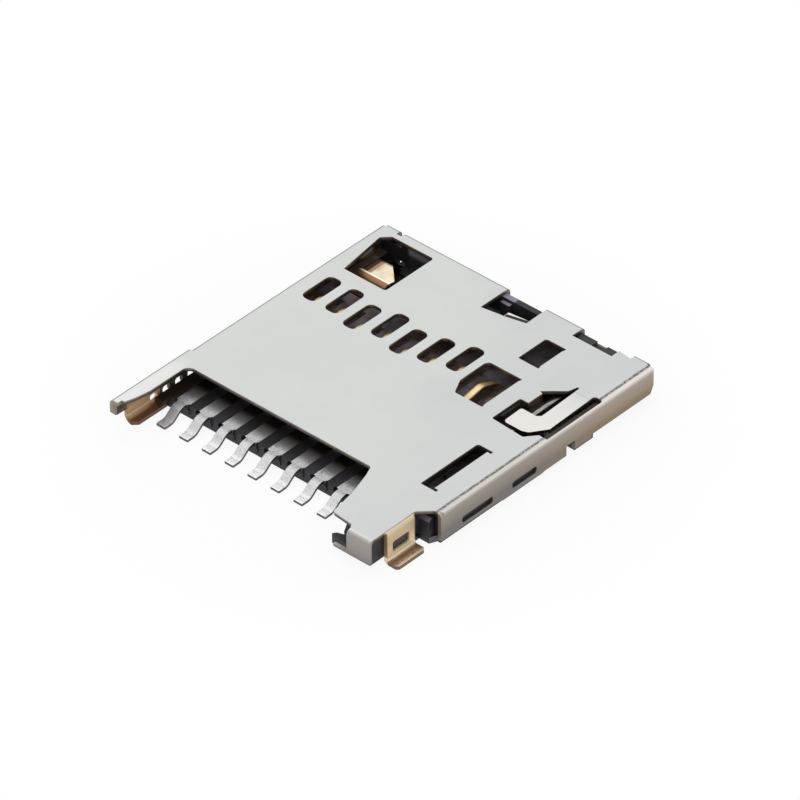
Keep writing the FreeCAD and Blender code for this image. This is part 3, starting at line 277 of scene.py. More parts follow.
class Finish(Graph):
    # a material, with the place in millimetres and the way each face looks

    def __init__(self, name, **plain):
        self.material = bpy.data.materials.new(name)
        self.material.use_nodes = True
        super().__init__(self.material.node_tree, "BSDF_PRINCIPLED")
        for socket, number in plain.items():
            self.target.inputs[socket.replace("_", " ")].default_value = number
        self.place = self.node("ShaderNodeTexCoord", {}, {}, "Object")
        self.x, self.y, self.z = (way * (1 / mm) for way in self.split(self.place))
        facing = self.node("ShaderNodeAttribute", {"attribute_name": "facing"}, {}, "Vector")
        self.east, self.north, self.up = self.split(facing)

    def split(self, vector):
        parts = self.node("ShaderNodeSeparateXYZ", {}, {"Vector": vector}, None)
        return [Wire(self, output) for output in parts.outputs]

    def noise(self, size, detail=3, rough=0.55, along=None):
        # size is the width of a patch in millimetres, and along presses the pattern together by axis
        where = self.place
        if along:
            where = self.node("ShaderNodeVectorMath", {"operation": "MULTIPLY"}, {0: where, 1: along})
        return self.node("ShaderNodeTexNoise", {}, {
            "Vector": where, "Scale": 1 / mm / size, "Detail": detail, "Roughness": rough})

    def fade(self, value, stops):
        # a run of colours, each at its own value
        low, high = stops[0][0], stops[-1][0]
        places = [((at - low) / (high - low), colour) for at, colour in stops]
        return self.node("ShaderNodeValToRGB", {"stops": places}, {"Fac": (value - low) / (high - low)})

    def row(self, axis, low, high, soft=None):
        # rises from the first value to the second, or lies between the two with soft edges
        value = getattr(self, axis)
        if soft is None:
            return self.ramp(value, low, high)
        return self.ramp(value, low - soft, low + soft) * self.ramp(value, high - soft, high + soft, 1.0, 0.0)

    def area(self, rows):
        # where every row holds, each of x, y, z, east, north or up with its values
        first, *others = (self.row(*row) for row in rows)
        return math.prod(others, start=first)

    def edges(self, low, high):
        # the rounded edges, which look along no axis
        along = [way.size() for way in (self.east, self.north, self.up)]
        return self.ramp(along[0].most(along[1]).most(along[2]), low, high)

    def mix(self, mask, colourA, colourB):
        opaque = [c if isinstance(c, Wire) else (*c, 1) for c in (colourA, colourB)]
        return self.node("ShaderNodeMix", {"data_type": "RGBA"}, {0: mask, 6: opaque[0], 7: opaque[1]}, 2)

    def relief(self, height, depth, strength):
        # depth in millimetres
        self.feed("Normal", self.node("ShaderNodeBump", {}, {
            "Height": height, "Distance": depth * mm, "Strength": strength}))


def tone(red, green, blue):
    # a colour as a screen shows it, 0 to 255, in the light's own numbers
    return tuple(((c / 255 + 0.055) / 1.055) ** 2.4 if c > 10 else c / 3295 for c in (red, green, blue))


# The folded steel cover

# in every plan, lengths and places are in millimetres, with x to the right, y to the rear and z up;
# a noise gives the width of its patches, then detail, roughness and stretch; a range is what a ramp goes
# between, with the two results after it where they aren't 0 and 1; an area is the rows of Finish.area
shellPlan = {
    "edge": 0.018,
    # the rear part of the right wall stops a little higher, and the leaf's slot reaches further left
    "footLow": (6.30, 3.99, -0.1), "footHigh": (6.80, 7.30, 0.37),
    "slotLow": (4.33, 0.90, 1.10), "slotHigh": (4.46, 2.60, 1.50), "slotMove": (-0.20, 0, 0),
    "metallic": 0.85, "tabDull": 0.5, "bendDull": 0.6, "roughness": 0.37, "roughGrain": 0.12,
    "cloud": (3.2, 3), "grain": (0.05, 2), "speckle": (0.07, 3, 0.7), "dents": (0.4, 2),
    "dentShare": 0.5, "reliefDepth": 0.003, "reliefStrength": 0.5,
    # the sides that look up; the inner faces, dark with painted shade and with patches of painted warm
    # reflection; and the cut edges, darker towards the bottom
    "upward": [("up", 0.72, 0.92)],
    "inside": tone(56, 44, 34), "insideWarmReflection": tone(150, 120, 84),
    "warm": (0.5, 3, 0.6, (1.0, 0.6, 2.0)), "warmRange": (0.42, 0.68),
    "patchArea": [("x", -6.2, -6.3), ("y", 5.7, 6.3, 0.1), ("z", 0.5, 0.8), ("east", 0.3, 0.7)],
    "cutArea": [("z", 1.26, 1.29)],
    "cut": [(1.26, tone(66, 56, 48)), (1.34, tone(98, 89, 80)), (1.40, tone(152, 145, 134))],
    # the top, darker towards the right rear, with its front left horn and the leaf
    "plate": tone(209, 211, 209), "plateShade": tone(201, 203, 202), "cloudShare": 0.4,
    "cloudRange": (0.65, 0.35), "shadeSlant": 0.3, "shadeRange": (-1.0, 4.0),
    "horn": tone(224, 224, 223), "hornArea": [("x", -5.80, -6.05), ("y", -3.4, -4.6)],
    "leaf": tone(224, 221, 217), "leafFade": (4.2, 1.9, 0.5),
    "leafArea": [("x", 4.3, 6.1, 0.05), ("y", 0.95, 1.05), ("y", 4.25, 4.15), ("z", 1.428, 1.40)],
    "raisedArea": [("z", 0.95, 1.02)], "skinArea": [("z", 1.414, 1.424)],
    # the flap in the rear notch, pale with a painted highlight, behind a dark fold of painted shade that runs
    # aslant
    "flap": tone(238, 230, 227), "flapEnd": tone(176, 166, 158), "flapFoldShade": tone(52, 46, 44),
    "flapArea": [("x", 0.43, 1.40, 0.02), ("y", 5.6, 6.5, 0.02), ("z", 1.2, 1.3)],
    "foldCorner": (0.49, 5.78), "foldSlant": 0.23, "foldRange": (-0.07, -0.05),
    "paleRange": (0.20, 0.24), "flapEndRange": (1.12, 1.22),
    "rail": tone(128, 106, 66),
    "railArea": [("x", 3.0, 5.0, 0.02), ("y", 6.98, 7.0), ("z", 1.06, 1.03), ("north", 0.7, 0.3)],
    # the outsides of the left and rear walls, and their bends as a thin grey line of painted shade
    "leftArea": [("east", -0.3, -0.7), ("x", -6.40, -6.44)],
    "rearArea": [("north", 0.3, 0.7), ("y", 6.90, 7.00)],
    "bend": tone(118, 117, 117), "leftStep": (-3.2, -3.15, 0.0, -0.12), "leftBend": (-6.46, -6.51),
    "rearBend": [("y", 6.99, 7.04)], "bendArea": [("z", 1.20, 1.30)],
    "sill": tone(176, 176, 174), "sillArea": [("z", 0.40, 0.56, 0.02)],
    # colours up the right wall, front and rear, and up the front, each at its height in millimetres: darker
    # towards the bottom, and pale at the top with a painted highlight along the bend
    "wallFront": [(0.25, tone(122, 118, 115)), (0.55, tone(120, 115, 112)), (0.80, tone(137, 129, 122)),
                  (1.05, tone(147, 140, 130)), (1.25, tone(154, 147, 138)), (1.38, tone(180, 174, 167)),
                  (1.43, tone(206, 202, 196))],
    "wallRear": [(0.25, tone(136, 120, 98)), (0.55, tone(137, 121, 100)), (0.80, tone(157, 139, 120)),
                 (1.05, tone(160, 147, 133)), (1.25, tone(166, 155, 145)), (1.38, tone(209, 200, 192)),
                 (1.43, tone(222, 217, 211))],
    "wallCloud": 2.4, "wallRange": (-1.5, 5.2),
    "rightArea": [("x", 6.30, 6.33), ("y", -4.42, -4.38), ("up", -0.2, -0.1)],
    "rightOutside": [("x", 6.36, 6.38)], "rightBend": [("z", 1.37, 1.39)],
    "front": [(0.40, tone(124, 122, 120)), (0.70, tone(144, 139, 135)), (0.90, tone(152, 146, 140)),
              (1.30, tone(158, 154, 149)), (1.40, tone(166, 163, 160)), (1.43, tone(196, 194, 190))],
    "frontArea": [("y", -6.97, -7.0), ("x", 3.5, 3.6), ("north", 0.2, 0.1), ("up", 0.99, 0.96)],
    "lipEnd": tone(142, 138, 124), "lipEndArea": [("y", -6.95, -7.0), ("x", -6.0, -6.1), ("up", 0.92, 0.72)],
    # a rough dark line of painted shade where the top runs into the right bend
    "line": tone(100, 95, 91), "lineAt": 6.30, "lineRange": (0.09, 0.02), "lineNoise": (0.4, 3),
    "lineDrift": 0.06, "lineSpeckle": (0.38, 0.55, 0.45, 1.0),
    "lineArea": [("z", 1.412, 1.42), ("y", -4.38, -4.34)],
    # the right solder tab in thin gold, up its side, with a darker outline, and out along its grainy foot
    "rightTab": [(0.18, tone(246, 234, 208)), (0.32, tone(246, 228, 192)), (0.60, tone(232, 206, 166)),
                 (0.85, tone(208, 182, 142)), (1.15, tone(204, 186, 150)), (1.36, tone(226, 208, 178))],
    "rightTabArea": [("x", 5.60, 5.64), ("y", -4.80, -4.84), ("z", 1.41, 1.37), ("y", -6.40, -6.36)],
    "tabLine": tone(142, 112, 78), "tabLineShare": 0.8,
    "tabMiddle": [("y", -6.29, -4.91, 0.015)], "tabHeight": [("z", 0.30, 1.34, 0.02)],
    "foot": [(5.80, tone(240, 224, 196)), (5.86, tone(178, 150, 120)), (5.95, tone(128, 97, 72)),
             (6.05, tone(150, 120, 94)), (6.15, tone(196, 168, 140)), (6.24, tone(240, 220, 190))],
    "footArea": [("z", 0.22, 0.17)],
    "speck": tone(84, 56, 40), "speckRange": (0.50, 0.62, 0.0, 0.75), "speckArea": [("x", 5.84, 6.20, 0.03)],
    "tabEnd": tone(112, 90, 66), "tabEndArea": [("up", 0.5, 0.2), ("x", 5.80, 5.84)],
    # the left one, brown with streaks and darker at its foot, with a painted highlight low across it and painted
    # shade under the top
    "leftTab": [(0.08, tone(108, 74, 50)), (0.17, tone(124, 88, 56)), (0.27, tone(198, 158, 118)),
                (0.34, tone(236, 208, 168)), (0.40, tone(196, 158, 122)), (0.60, tone(208, 166, 126)),
                (0.78, tone(164, 132, 102)), (1.05, tone(84, 58, 40))],
    "leftTabArea": [("x", -5.9, -6.0), ("y", -4.76, -4.80), ("z", 1.12, 1.05), ("y", -6.52, -6.40)],
    "streaks": (0.16, 4, 0.6, (1.0, 0.25, 1.0)), "streakRange": (0.45, 0.75, 0.0, 0.4),
}


def plateColour(steel, cloud):
    # the top, the leaf spring, the stop lip and the sill
    plan = shellPlan
    shade = (steel.ramp(cloud, *plan["cloudRange"]) * plan["cloudShare"]
             + steel.ramp(steel.x + steel.y * plan["shadeSlant"], *plan["shadeRange"]) * (1 - plan["cloudShare"]))
    plate = steel.mix(shade, plan["plate"], plan["plateShade"])
    plate = steel.mix(steel.area(plan["hornArea"]), plate, plan["horn"])
    leaf = steel.area(plan["leafArea"]) * steel.ramp(steel.y, *plan["leafFade"])
    return steel.mix(leaf, plate, plan["leaf"])


# the rough line of painted shade where the top runs into the right bend
def shadeLineMask(steel, speckle):
    plan = shellPlan
    drift = steel.x - plan["lineAt"] - (steel.noise(*plan["lineNoise"]) - 0.5) * plan["lineDrift"]
    line = steel.ramp(drift.size(), *plan["lineRange"]) * steel.ramp(speckle, *plan["lineSpeckle"])
    return line * steel.area(plan["lineArea"])


def rightTabColour(steel, speckle):
    plan = shellPlan
    outline = (1 - steel.area(plan["tabMiddle"])) * steel.area(plan["tabHeight"]) * plan["tabLineShare"]
    tab = steel.mix(outline, steel.fade(steel.z, plan["rightTab"]), plan["tabLine"])
    specks = steel.ramp(speckle, *plan["speckRange"]) * steel.area(plan["speckArea"])
    foot = steel.mix(specks, steel.fade(steel.x, plan["foot"]), plan["speck"])
    foot = steel.mix(steel.area(plan["tabEndArea"]), foot, plan["tabEnd"])
    return steel.mix(steel.area(plan["footArea"]), tab, foot)


def shellSteel():
    plan = shellPlan
    steel = Finish("shellSteel")
    cloud, grain, speckle = (steel.noise(*plan[name]) for name in ("cloud", "grain", "speckle"))
    upward = steel.area(plan["upward"])
    # painted shade on the inner faces, with patches of painted warm reflection
    warm = steel.ramp(steel.noise(*plan["warm"]), *plan["warmRange"])
    base = steel.mix(warm, plan["inside"], plan["insideWarmReflection"])
    base = steel.mix(steel.area(plan["patchArea"]), base, plan["leaf"])
    base = steel.mix(steel.area(plan["cutArea"]), base, steel.fade(steel.z, plan["cut"]))
    raised = (upward * steel.area(plan["raisedArea"])).most(steel.area(plan["skinArea"]))
    base = steel.mix(raised, base, plateColour(steel, cloud))
    # the flap and the rail in the notch
    cornerX, cornerY = plan["foldCorner"]
    rise = steel.y - cornerY - (steel.x - cornerX) * plan["foldSlant"]
    flap = steel.area(plan["flapArea"]) * steel.ramp(rise, *plan["foldRange"])
    pale = steel.mix(steel.ramp(steel.x, *plan["flapEndRange"]), plan["flap"], plan["flapEnd"])
    # painted shade along the fold, and a painted highlight on the flap beyond it
    base = steel.mix(flap, base, steel.mix(steel.ramp(rise, *plan["paleRange"]), plan["flapFoldShade"], pale))
    base = steel.mix(steel.area(plan["railArea"]), base, plan["rail"])
    # the left and rear walls and the sill
    behind = steel.area(plan["leftArea"]).most(steel.area(plan["rearArea"]))
    base = steel.mix(behind, base, steel.fade(steel.z, plan["wallFront"]))
    left = steel.ramp(steel.x + steel.ramp(steel.y, *plan["leftStep"]), *plan["leftBend"])
    bends = left.most(steel.area(plan["rearBend"]))
    # a thin line of painted shade along the left and rear bends
    base = steel.mix(bends * steel.area(plan["bendArea"]), base, plan["bend"])
    base = steel.mix(upward * steel.area(plan["sillArea"]), base, plan["sill"])
    # the walls at the right and the front, with a painted highlight along their bends
    drift = cloud * plan["wallCloud"] - plan["wallCloud"] / 2
    rear = steel.ramp(steel.y + drift, *plan["wallRange"])
    wall = steel.mix(rear, steel.fade(steel.z, plan["wallFront"]), steel.fade(steel.z, plan["wallRear"]))
    outward = steel.area(plan["rightOutside"]).most(steel.area(plan["rightBend"]))
    base = steel.mix(steel.area(plan["rightArea"]) * outward, base, wall)
    base = steel.mix(steel.area(plan["frontArea"]), base, steel.fade(steel.z, plan["front"]))
    base = steel.mix(steel.area(plan["lipEndArea"]), base, plan["lipEnd"])
    base = steel.mix(shadeLineMask(steel, speckle), base, plan["line"])
    # the two solder tabs
    rightTab, leftTab = steel.area(plan["rightTabArea"]), steel.area(plan["leftTabArea"])
    base = steel.mix(rightTab, base, rightTabColour(steel, speckle))
    streaks = steel.ramp(steel.noise(*plan["streaks"]), *plan["streakRange"])
    copperWithPaintedLight = steel.mix(streaks, steel.fade(steel.z, plan["leftTab"]), plan["speck"])
    steel.feed("Base Color", steel.mix(leftTab, base, copperWithPaintedLight))
    steel.feed("Metallic", plan["metallic"] - (rightTab + leftTab) * plan["tabDull"]
               - bends * (1 - behind) * plan["bendDull"])
    steel.feed("Roughness", plan["roughness"] + grain * plan["roughGrain"])
    height = grain * (1 - plan["dentShare"]) + steel.noise(*plan["dents"]) * plan["dentShare"]
    steel.relief(height, plan["reliefDepth"], plan["reliefStrength"])
    return steel.material


def makeShell():
    shell = nodeCopy("shell")
    carve(shell, shellPlan["footLow"], shellPlan["footHigh"])
    selectInside(shell, shellPlan["slotLow"], shellPlan["slotHigh"])
    bpy.ops.transform.translate(value=shellPlan["slotMove"])
    dress(shell, shellPlan["edge"])
    seat(shell, "frame", shellSteel(), "shell")


makeShell()
print("shell made")


# The moulded base

housingPlan = {
    "edge": 0.03,
    # it is cut away behind the right wall's higher part and behind the nick
    "footLow": (6.20, 3.89, -0.1), "footHigh": (6.60, 7.30, 0.42),
    "nickLow": (5.98, 2.30, -0.1), "nickHigh": (6.60, 2.90, 0.75),
    "dark": tone(27, 26, 28), "light": tone(48, 45, 52), "gloss": 0.45, "roughness": 0.42,
}

# what the base and the slider share
plasticPlan = {
    "flow": (0.9, 3, 0.6, (1.0, 0.5, 1.0)), "flowRange": (0.38, 0.70, 0.0, 0.6), "roughFlow": 0.2,
    "dust": tone(84, 81, 86), "specks": (0.06, 2), "dustRange": (0.66, 0.74, 0.0, 0.2),
    "reliefDepth": 0.004, "reliefStrength": 0.6,
    # a painted highlight on the rounded edges, patchy along the flow
    "edgeHighlight": tone(98, 95, 100), "edgeRange": (0.985, 0.93), "edgeFlow": (0.25, 0.55, 0.4, 0.9),
    # painted light: the floor under the windows is made lighter where light from above falls on it, in warm and
    # pale patches
    "floor": tone(128, 119, 124), "floorWarm": tone(90, 74, 68),
    "floorNoise": (0.8, 2), "floorRange": (0.42, 0.62),
    "floorArea": [("up", 0.90, 0.97), ("z", 0.45, 0.55, 0.02), ("y", -3.4, -3.0)],
    # painted light: the pockets are paler than the plastic, so their dim insides look lit
    "pocket": tone(122, 108, 100),
    "pocketArea": [("y", 0.0, 4.1, 0.02), ("x", -5.8, 3.9, 0.02), ("z", 0.06, 0.47, 0.02)],
    "corner": tone(40, 31, 24), "cornerArea": [("x", -5.78, -5.82), ("y", -3.5, -3.7)],
    "slot": tone(40, 31, 24), "slotArea": [("x", 6.08, 6.12), ("y", 0.9, 4.5, 0.02), ("z", 1.1, 1.2)],
    # painted light: the back at the left is made pale where light falls on it
    "back": tone(118, 112, 126), "backArea": [("x", -5.0, -3.8, 0.1), ("y", 6.5, 6.6), ("z", 0.75, 1.0)],
    # the base behind the tab's window, with painted shade round its border and painted light in its middle
    "windowRimShade": tone(30, 20, 14), "windowMiddleLit": tone(66, 60, 68),
    "windowArea": [("x", 5.2, 5.3), ("y", -6.25, -4.95, 0.02), ("z", 0.30, 1.12, 0.02), ("east", 0.5, 0.8)],
    "middleArea": [("y", -5.90, -5.30, 0.03), ("z", 0.52, 0.78, 0.03)],
    # the rear wall in the notch, lit at its left end and dark beyond
    "barLit": tone(138, 132, 146), "barDark": tone(30, 28, 30), "barRange": (0.05, 0.15),
    "barArea": [("x", -1.2, 1.8, 0.02), ("y", 6.3, 7.3, 0.02), ("z", 0.3, 1.35, 0.02), ("up", 0.5, 0.9)],
}


def mouldedPlastic(name, piecePlan):
    plan = plasticPlan
    plastic = Finish(name, Specular_IOR_Level=piecePlan["gloss"])
    flow, specks = plastic.noise(*plan["flow"]), plastic.noise(*plan["specks"])
    body = plastic.mix(plastic.ramp(flow, *plan["flowRange"]), piecePlan["dark"], piecePlan["light"])
    body = plastic.mix(plastic.ramp(specks, *plan["dustRange"]), body, plan["dust"])
    # the painted highlight on the rounded edges
    rounded = plastic.edges(*plan["edgeRange"]) * plastic.ramp(flow, *plan["edgeFlow"])
    body = plastic.mix(rounded, body, plan["edgeHighlight"])
    patches = plastic.ramp(plastic.noise(*plan["floorNoise"]), *plan["floorRange"])
    areas = {
        "floor": plastic.mix(patches, plan["floorWarm"], plan["floor"]),
        "pocket": plan["pocket"], "corner": plan["corner"], "slot": plan["slot"], "back": plan["back"],
        "window": plastic.mix(plastic.area(plan["middleArea"]), plan["windowRimShade"], plan["windowMiddleLit"]),
        "bar": plastic.mix(plastic.ramp(plastic.x, *plan["barRange"]), plan["barLit"], plan["barDark"]),
    }
    for area, colour in areas.items():
        body = plastic.mix(plastic.area(plan[area + "Area"]), body, colour)
    plastic.feed("Base Color", body)
    plastic.feed("Roughness", piecePlan["roughness"] + flow * plan["roughFlow"])
    plastic.relief(specks, plan["reliefDepth"], plan["reliefStrength"])
    return plastic.material


def makeHousing():
    housing = nodeCopy("housing")
    carve(housing, housingPlan["footLow"], housingPlan["footHigh"])
    carve(housing, housingPlan["nickLow"], housingPlan["nickHigh"])
    dress(housing, housingPlan["edge"])
    seat(housing, "frame", mouldedPlastic("housingPlastic", housingPlan), "housing")


makeHousing()
print("housing made")


# The contacts

contactPlan = {
    "count": 8, "edge": 0.02,
    # colours along a contact, each at its place in millimetres: painted highlights and shade at its bends,
    # painted shade under the top, then its gold tips
    "along": [(-5.90, tone(254, 254, 254)), (-5.70, tone(244, 244, 245)), (-5.60, tone(232, 232, 233)),
              (-5.42, tone(206, 206, 207)), (-5.00, tone(194, 194, 196)), (-4.86, tone(188, 188, 190)),
              (-4.72, tone(228, 228, 230)), (-4.50, tone(244, 243, 245)), (-4.30, tone(204, 203, 206)),
              (-4.15, tone(174, 172, 173)), (-3.90, tone(156, 152, 148)), (-3.60, tone(60, 54, 50)),
              (0.60, tone(62, 52, 44)), (1.10, tone(232, 204, 158)), (2.10, tone(248, 226, 184)),
              (3.20, tone(226, 192, 142))],
    "metallic": 0.9, "roughness": 0.42, "roughBrush": 0.1,
    "brushed": (0.05, 3, 0.6, (1.0, 0.12, 1.0)), "reliefDepth": 0.001, "reliefStrength": 0.3,
    "smudge": tone(112, 106, 102), "smudgeNoise": (0.22, 4, 0.7, (1.0, 0.7, 1.0)),
    "smudgeRange": (0.54, 0.70, 0.0, 0.6), "smudgeArea": [("y", -4.95, -4.2, 0.1)],
    "specks": (0.06, 3, 0.7), "speckRange": (0.48, 0.62, 0.0, 0.35), "speckArea": [("y", -5.9, -4.1, 0.1)],
    # painted shade: sides and ends are dark, and brown under the arched tips
    "side": tone(96, 94, 96), "brown": tone(120, 86, 54),
    "turned": [("up", 0.62, 0.42)], "brownArea": [("y", 0.0, 0.6)],
    # the arched tips get painted shade in brown along their edges, and stay bright along their middle
    "spacing": 1.10, "first": 0.4364,  # so that each contact's middle falls on a half
    "middleRange": (0.07, 0.14, 0.0, 0.8), "tipArea": [("y", 0.7, 0.9)],
}


def tinMetal():
    plan = contactPlan
    tin = Finish("tinMetal", Metallic=plan["metallic"])
    brushed = tin.noise(*plan["brushed"])
    smudge = tin.ramp(tin.noise(*plan["smudgeNoise"]), *plan["smudgeRange"]) * tin.area(plan["smudgeArea"])
    base = tin.mix(smudge, tin.fade(tin.y, plan["along"]), plan["smudge"])
    specks = tin.ramp(tin.noise(*plan["specks"]), *plan["speckRange"]) * tin.area(plan["speckArea"])
    base = tin.mix(specks, base, plan["smudge"])
    side = tin.mix(tin.area(plan["brownArea"]), plan["side"], plan["brown"])
    base = tin.mix(tin.area(plan["turned"]), base, side)
    across = ((tin.x / plan["spacing"] + plan["first"]).part() - 0.5).size() * plan["spacing"]
    # painted shade along the edges of the tips
    tips = tin.ramp(across, *plan["middleRange"]) * tin.area(plan["tipArea"])
    tin.feed("Base Color", tin.mix(tips, base, plan["brown"]))
    tin.feed("Roughness", plan["roughness"] + brushed * plan["roughBrush"])
    tin.relief(brushed, plan["reliefDepth"], plan["reliefStrength"])
    return tin.material


def makeContacts():
    tin = tinMetal()
    for number in range(1, contactPlan["count"] + 1):
        makePiece(f"contact_{number}", contactPlan["edge"], "frame", tin)


makeContacts()
print("contacts made")


# The slider and the lock that rides on it

sliderPlan = {
    "edge": 0.025, "dark": tone(46, 44, 46), "light": tone(82, 78, 84), "gloss": 0.45, "roughness": 0.38,
}
lockPlan = {"edge": 0.015}
wirePlan = {
    "steel": tone(190, 186, 180), "shade": tone(128, 124, 120), "metallic": 1.0, "roughness": 0.28,
    "drawn": (0.03, 3, 0.6, (1.0, 0.2, 1.0)), "drawnRange": (0.3, 0.7),
    "reliefDepth": 0.002, "reliefStrength": 0.4,
}


def wireSteel():
    plan = wirePlan
    steel = Finish("wireSteel", Metallic=plan["metallic"], Roughness=plan["roughness"])
    drawn = steel.noise(*plan["drawn"])
    steel.feed("Base Color", steel.mix(steel.ramp(drawn, *plan["drawnRange"]), plan["shade"], plan["steel"]))
    steel.relief(drawn, plan["reliefDepth"], plan["reliefStrength"])
    return steel.material


wireFinish = wireSteel()  # for the lock, the pin and the coil
makePiece("slider", sliderPlan["edge"], "carriage", mouldedPlastic("sliderPlastic", sliderPlan))
makePiece("card_lock", lockPlan["edge"], "carriage", wireFinish)
print("slider and lock made")


# The switch leaf and its fixed contact

switchPlan = {
    "edge": 0.015, "metallic": 0.85, "roughness": 0.4,
    "gold": tone(250, 236, 212), "shade": tone(228, 204, 170), "cloud": (0.5, 3), "cloudRange": (0.3, 0.62),
    # painted shade on the faces that tilt away from the top, darker on the steeper ones and lower down
    "fold": tone(190, 160, 124), "foldArea": [("up", 0.90, 0.75)],
    "flankShade": tone(140, 104, 76), "flankArea": [("up", 0.62, 0.45)], "lowArea": [("z", 0.84, 0.74)],
    # painted shade in brown down the left side of its top and at its front, and a painted highlight along the
    # fold
    "topArea": [("up", 0.5, 0.8), ("y", 4.94, 4.98), ("z", 0.6, 0.7)],
    "bandShade": tone(176, 146, 118), "bandArea": [("x", -5.22, -5.32)],
    "pitShade": tone(84, 62, 46), "pitArea": [("x", -5.40, -5.46)],
    "rimHighlight": tone(255, 238, 224), "rimArea": [("y", 4.95, 5.00, 0.015), ("z", 0.6, 0.7)],
    "frontArea": [("y", 4.95, 4.92)],
    # painted shade over its rear part
    "dark": tone(30, 22, 16), "darkArea": [("y", 6.0, 7.2, 0.1)],
    "tailArea": [("y", 7.1, 7.3)],
    "grain": (0.05, 2), "reliefDepth": 0.002, "reliefStrength": 0.4,
}


def switchGold():
    plan = switchPlan
    gold = Finish("switchGold", Metallic=plan["metallic"], Roughness=plan["roughness"])
    base = gold.mix(gold.ramp(gold.noise(*plan["cloud"]), *plan["cloudRange"]), plan["shade"], plan["gold"])
    top = gold.area(plan["topArea"])
    areas = [
        (gold.area(plan["foldArea"]), "fold"),
        (gold.area(plan["flankArea"]).most(gold.area(plan["lowArea"])), "flankShade"),
        (top * gold.area(plan["bandArea"]), "bandShade"),
        (top * gold.area(plan["pitArea"]), "pitShade"),
        (gold.area(plan["rimArea"]), "rimHighlight"),
        (gold.area(plan["frontArea"]), "flankShade"),
        (gold.area(plan["darkArea"]), "dark"),
        (gold.area(plan["tailArea"]), "shade"),
    ]
    for mask, colour in areas:
        base = gold.mix(mask, base, plan[colour])
    gold.feed("Base Color", base)
    gold.relief(gold.noise(*plan["grain"]), plan["reliefDepth"], plan["reliefStrength"])
    return gold.material


def makeSwitch():
    gold = switchGold()
    for name in ("switch_leaf", "switch_pad"):
        makePiece(name, switchPlan["edge"], "frame", gold)


makeSwitch()
print("switch made")


# The bent pin, a wire swept along its path

pinPlan = {"radius": 0.14, "sides": 20, "footHeight": 0.53, "bend": 0.16, "bendSteps": 6, "straight": 0.001}


def pinPath(low, high):
    # from the rear foot up, over both bends and down to the front foot, as places along y and z
    radius, bend, steps = pinPlan["radius"], pinPlan["bend"], pinPlan["bendSteps"]
    front, rear, top = low.y + radius, high.y - radius, high.z - radius
    path = [(rear, low.z)]
    for centre, first in ((rear - bend, 0), (front + bend, 90)):
        for step in range(steps + 1):
            turn = math.radians(first + 90 * step / steps)
            path.append((centre + bend * math.cos(turn), top - bend + bend * math.sin(turn)))
    path.append((front, pinPlan["footHeight"]))
    return path


def makePin():
    low, high = (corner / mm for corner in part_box("cam_pin"))
    x = (low.x + high.x) / 2
    path = pinPath(low, high)
    deselectAll()
    bpy.ops.mesh.primitive_circle_add(vertices=pinPlan["sides"], radius=pinPlan["radius"], fill_type="NGON",
                                      location=(x, *path[0]))
    pin = bpy.context.active_object
    pin.name = "cam_pin_wire"
    editing(pin)
    bpy.ops.mesh.select_all(action="SELECT")
    heading = math.pi / 2
    for here, there in zip(path, path[1:]):
        along, rise = there[0] - here[0], there[1] - here[1]
        turned = math.atan2(rise, along)
        bpy.ops.mesh.extrude_region_move(TRANSFORM_OT_translate={"value": (0, along, rise)})
        if abs(turned - heading) > pinPlan["straight"]:
            bpy.ops.transform.rotate(value=heading - turned, orient_axis="X", center_override=(x, *there))
        heading = turned
    bpy.ops.mesh.select_all(action="SELECT")
    bpy.ops.mesh.normals_make_consistent(inside=False)
    smooth(pin)
    seat(pin, "pin", wireFinish, "cam_pin")


makePin()
print("pin made")


# The coil

coilPlan = {
    "turns": 19, "radius": 0.25, "wire": 0.055, "sides": 10, "stepsPerTurn": 22,
    "ends": 0.06,  # room for half a wire at each end
    "pressed": 0.594,  # the share of its length that is left with the card pushed in
}


def makeCoil():
    low, high = (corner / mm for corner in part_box("eject_spring"))
    turns, ends = coilPlan["turns"], coilPlan["ends"]
    steps = turns * coilPlan["stepsPerTurn"]
    middle = (low + high) / 2
    axisStart = Vector((middle.x, low.y, middle.z))
    deselectAll()
    bpy.ops.mesh.primitive_circle_add(vertices=coilPlan["sides"], radius=coilPlan["wire"],
                                      location=axisStart + Vector((coilPlan["radius"], ends, 0)))
    coil = bpy.context.active_object
    coil.name = "eject_spring_coil"
    bpy.ops.object.origin_set(type="ORIGIN_CURSOR")
    coil.data.transform(Matrix.Translation(-axisStart))
    addModifier(coil, "SCREW", axis="Y", angle=math.tau * turns, screw_offset=high.y - low.y - 2 * ends,
                steps=steps, render_steps=steps, use_normal_calculate=True)
    coil.data.transform(Matrix.Translation(axisStart))
    editing(coil, "EDGE")
    bpy.ops.mesh.select_non_manifold()
    bpy.ops.mesh.edge_face_add()
    bpy.ops.mesh.select_all(action="SELECT")
    bpy.ops.mesh.normals_make_consistent(inside=False)
    smooth(coil)
    seat(coil, "frame", wireFinish, "eject_spring")
    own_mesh(coil)


makeCoil()
print("coil made")


# Floor, light and camera

floorPlan = {
    "size": 0.6, "cells": 4, "white": 0.92, "roughness": 0.9, "below": 0.00001,
    # how much of the paper shows plain white: less near the object, where its shadow lies, and all from there on
    "glowRange": (9.0, 15.0, 0.90, 1.0),
}


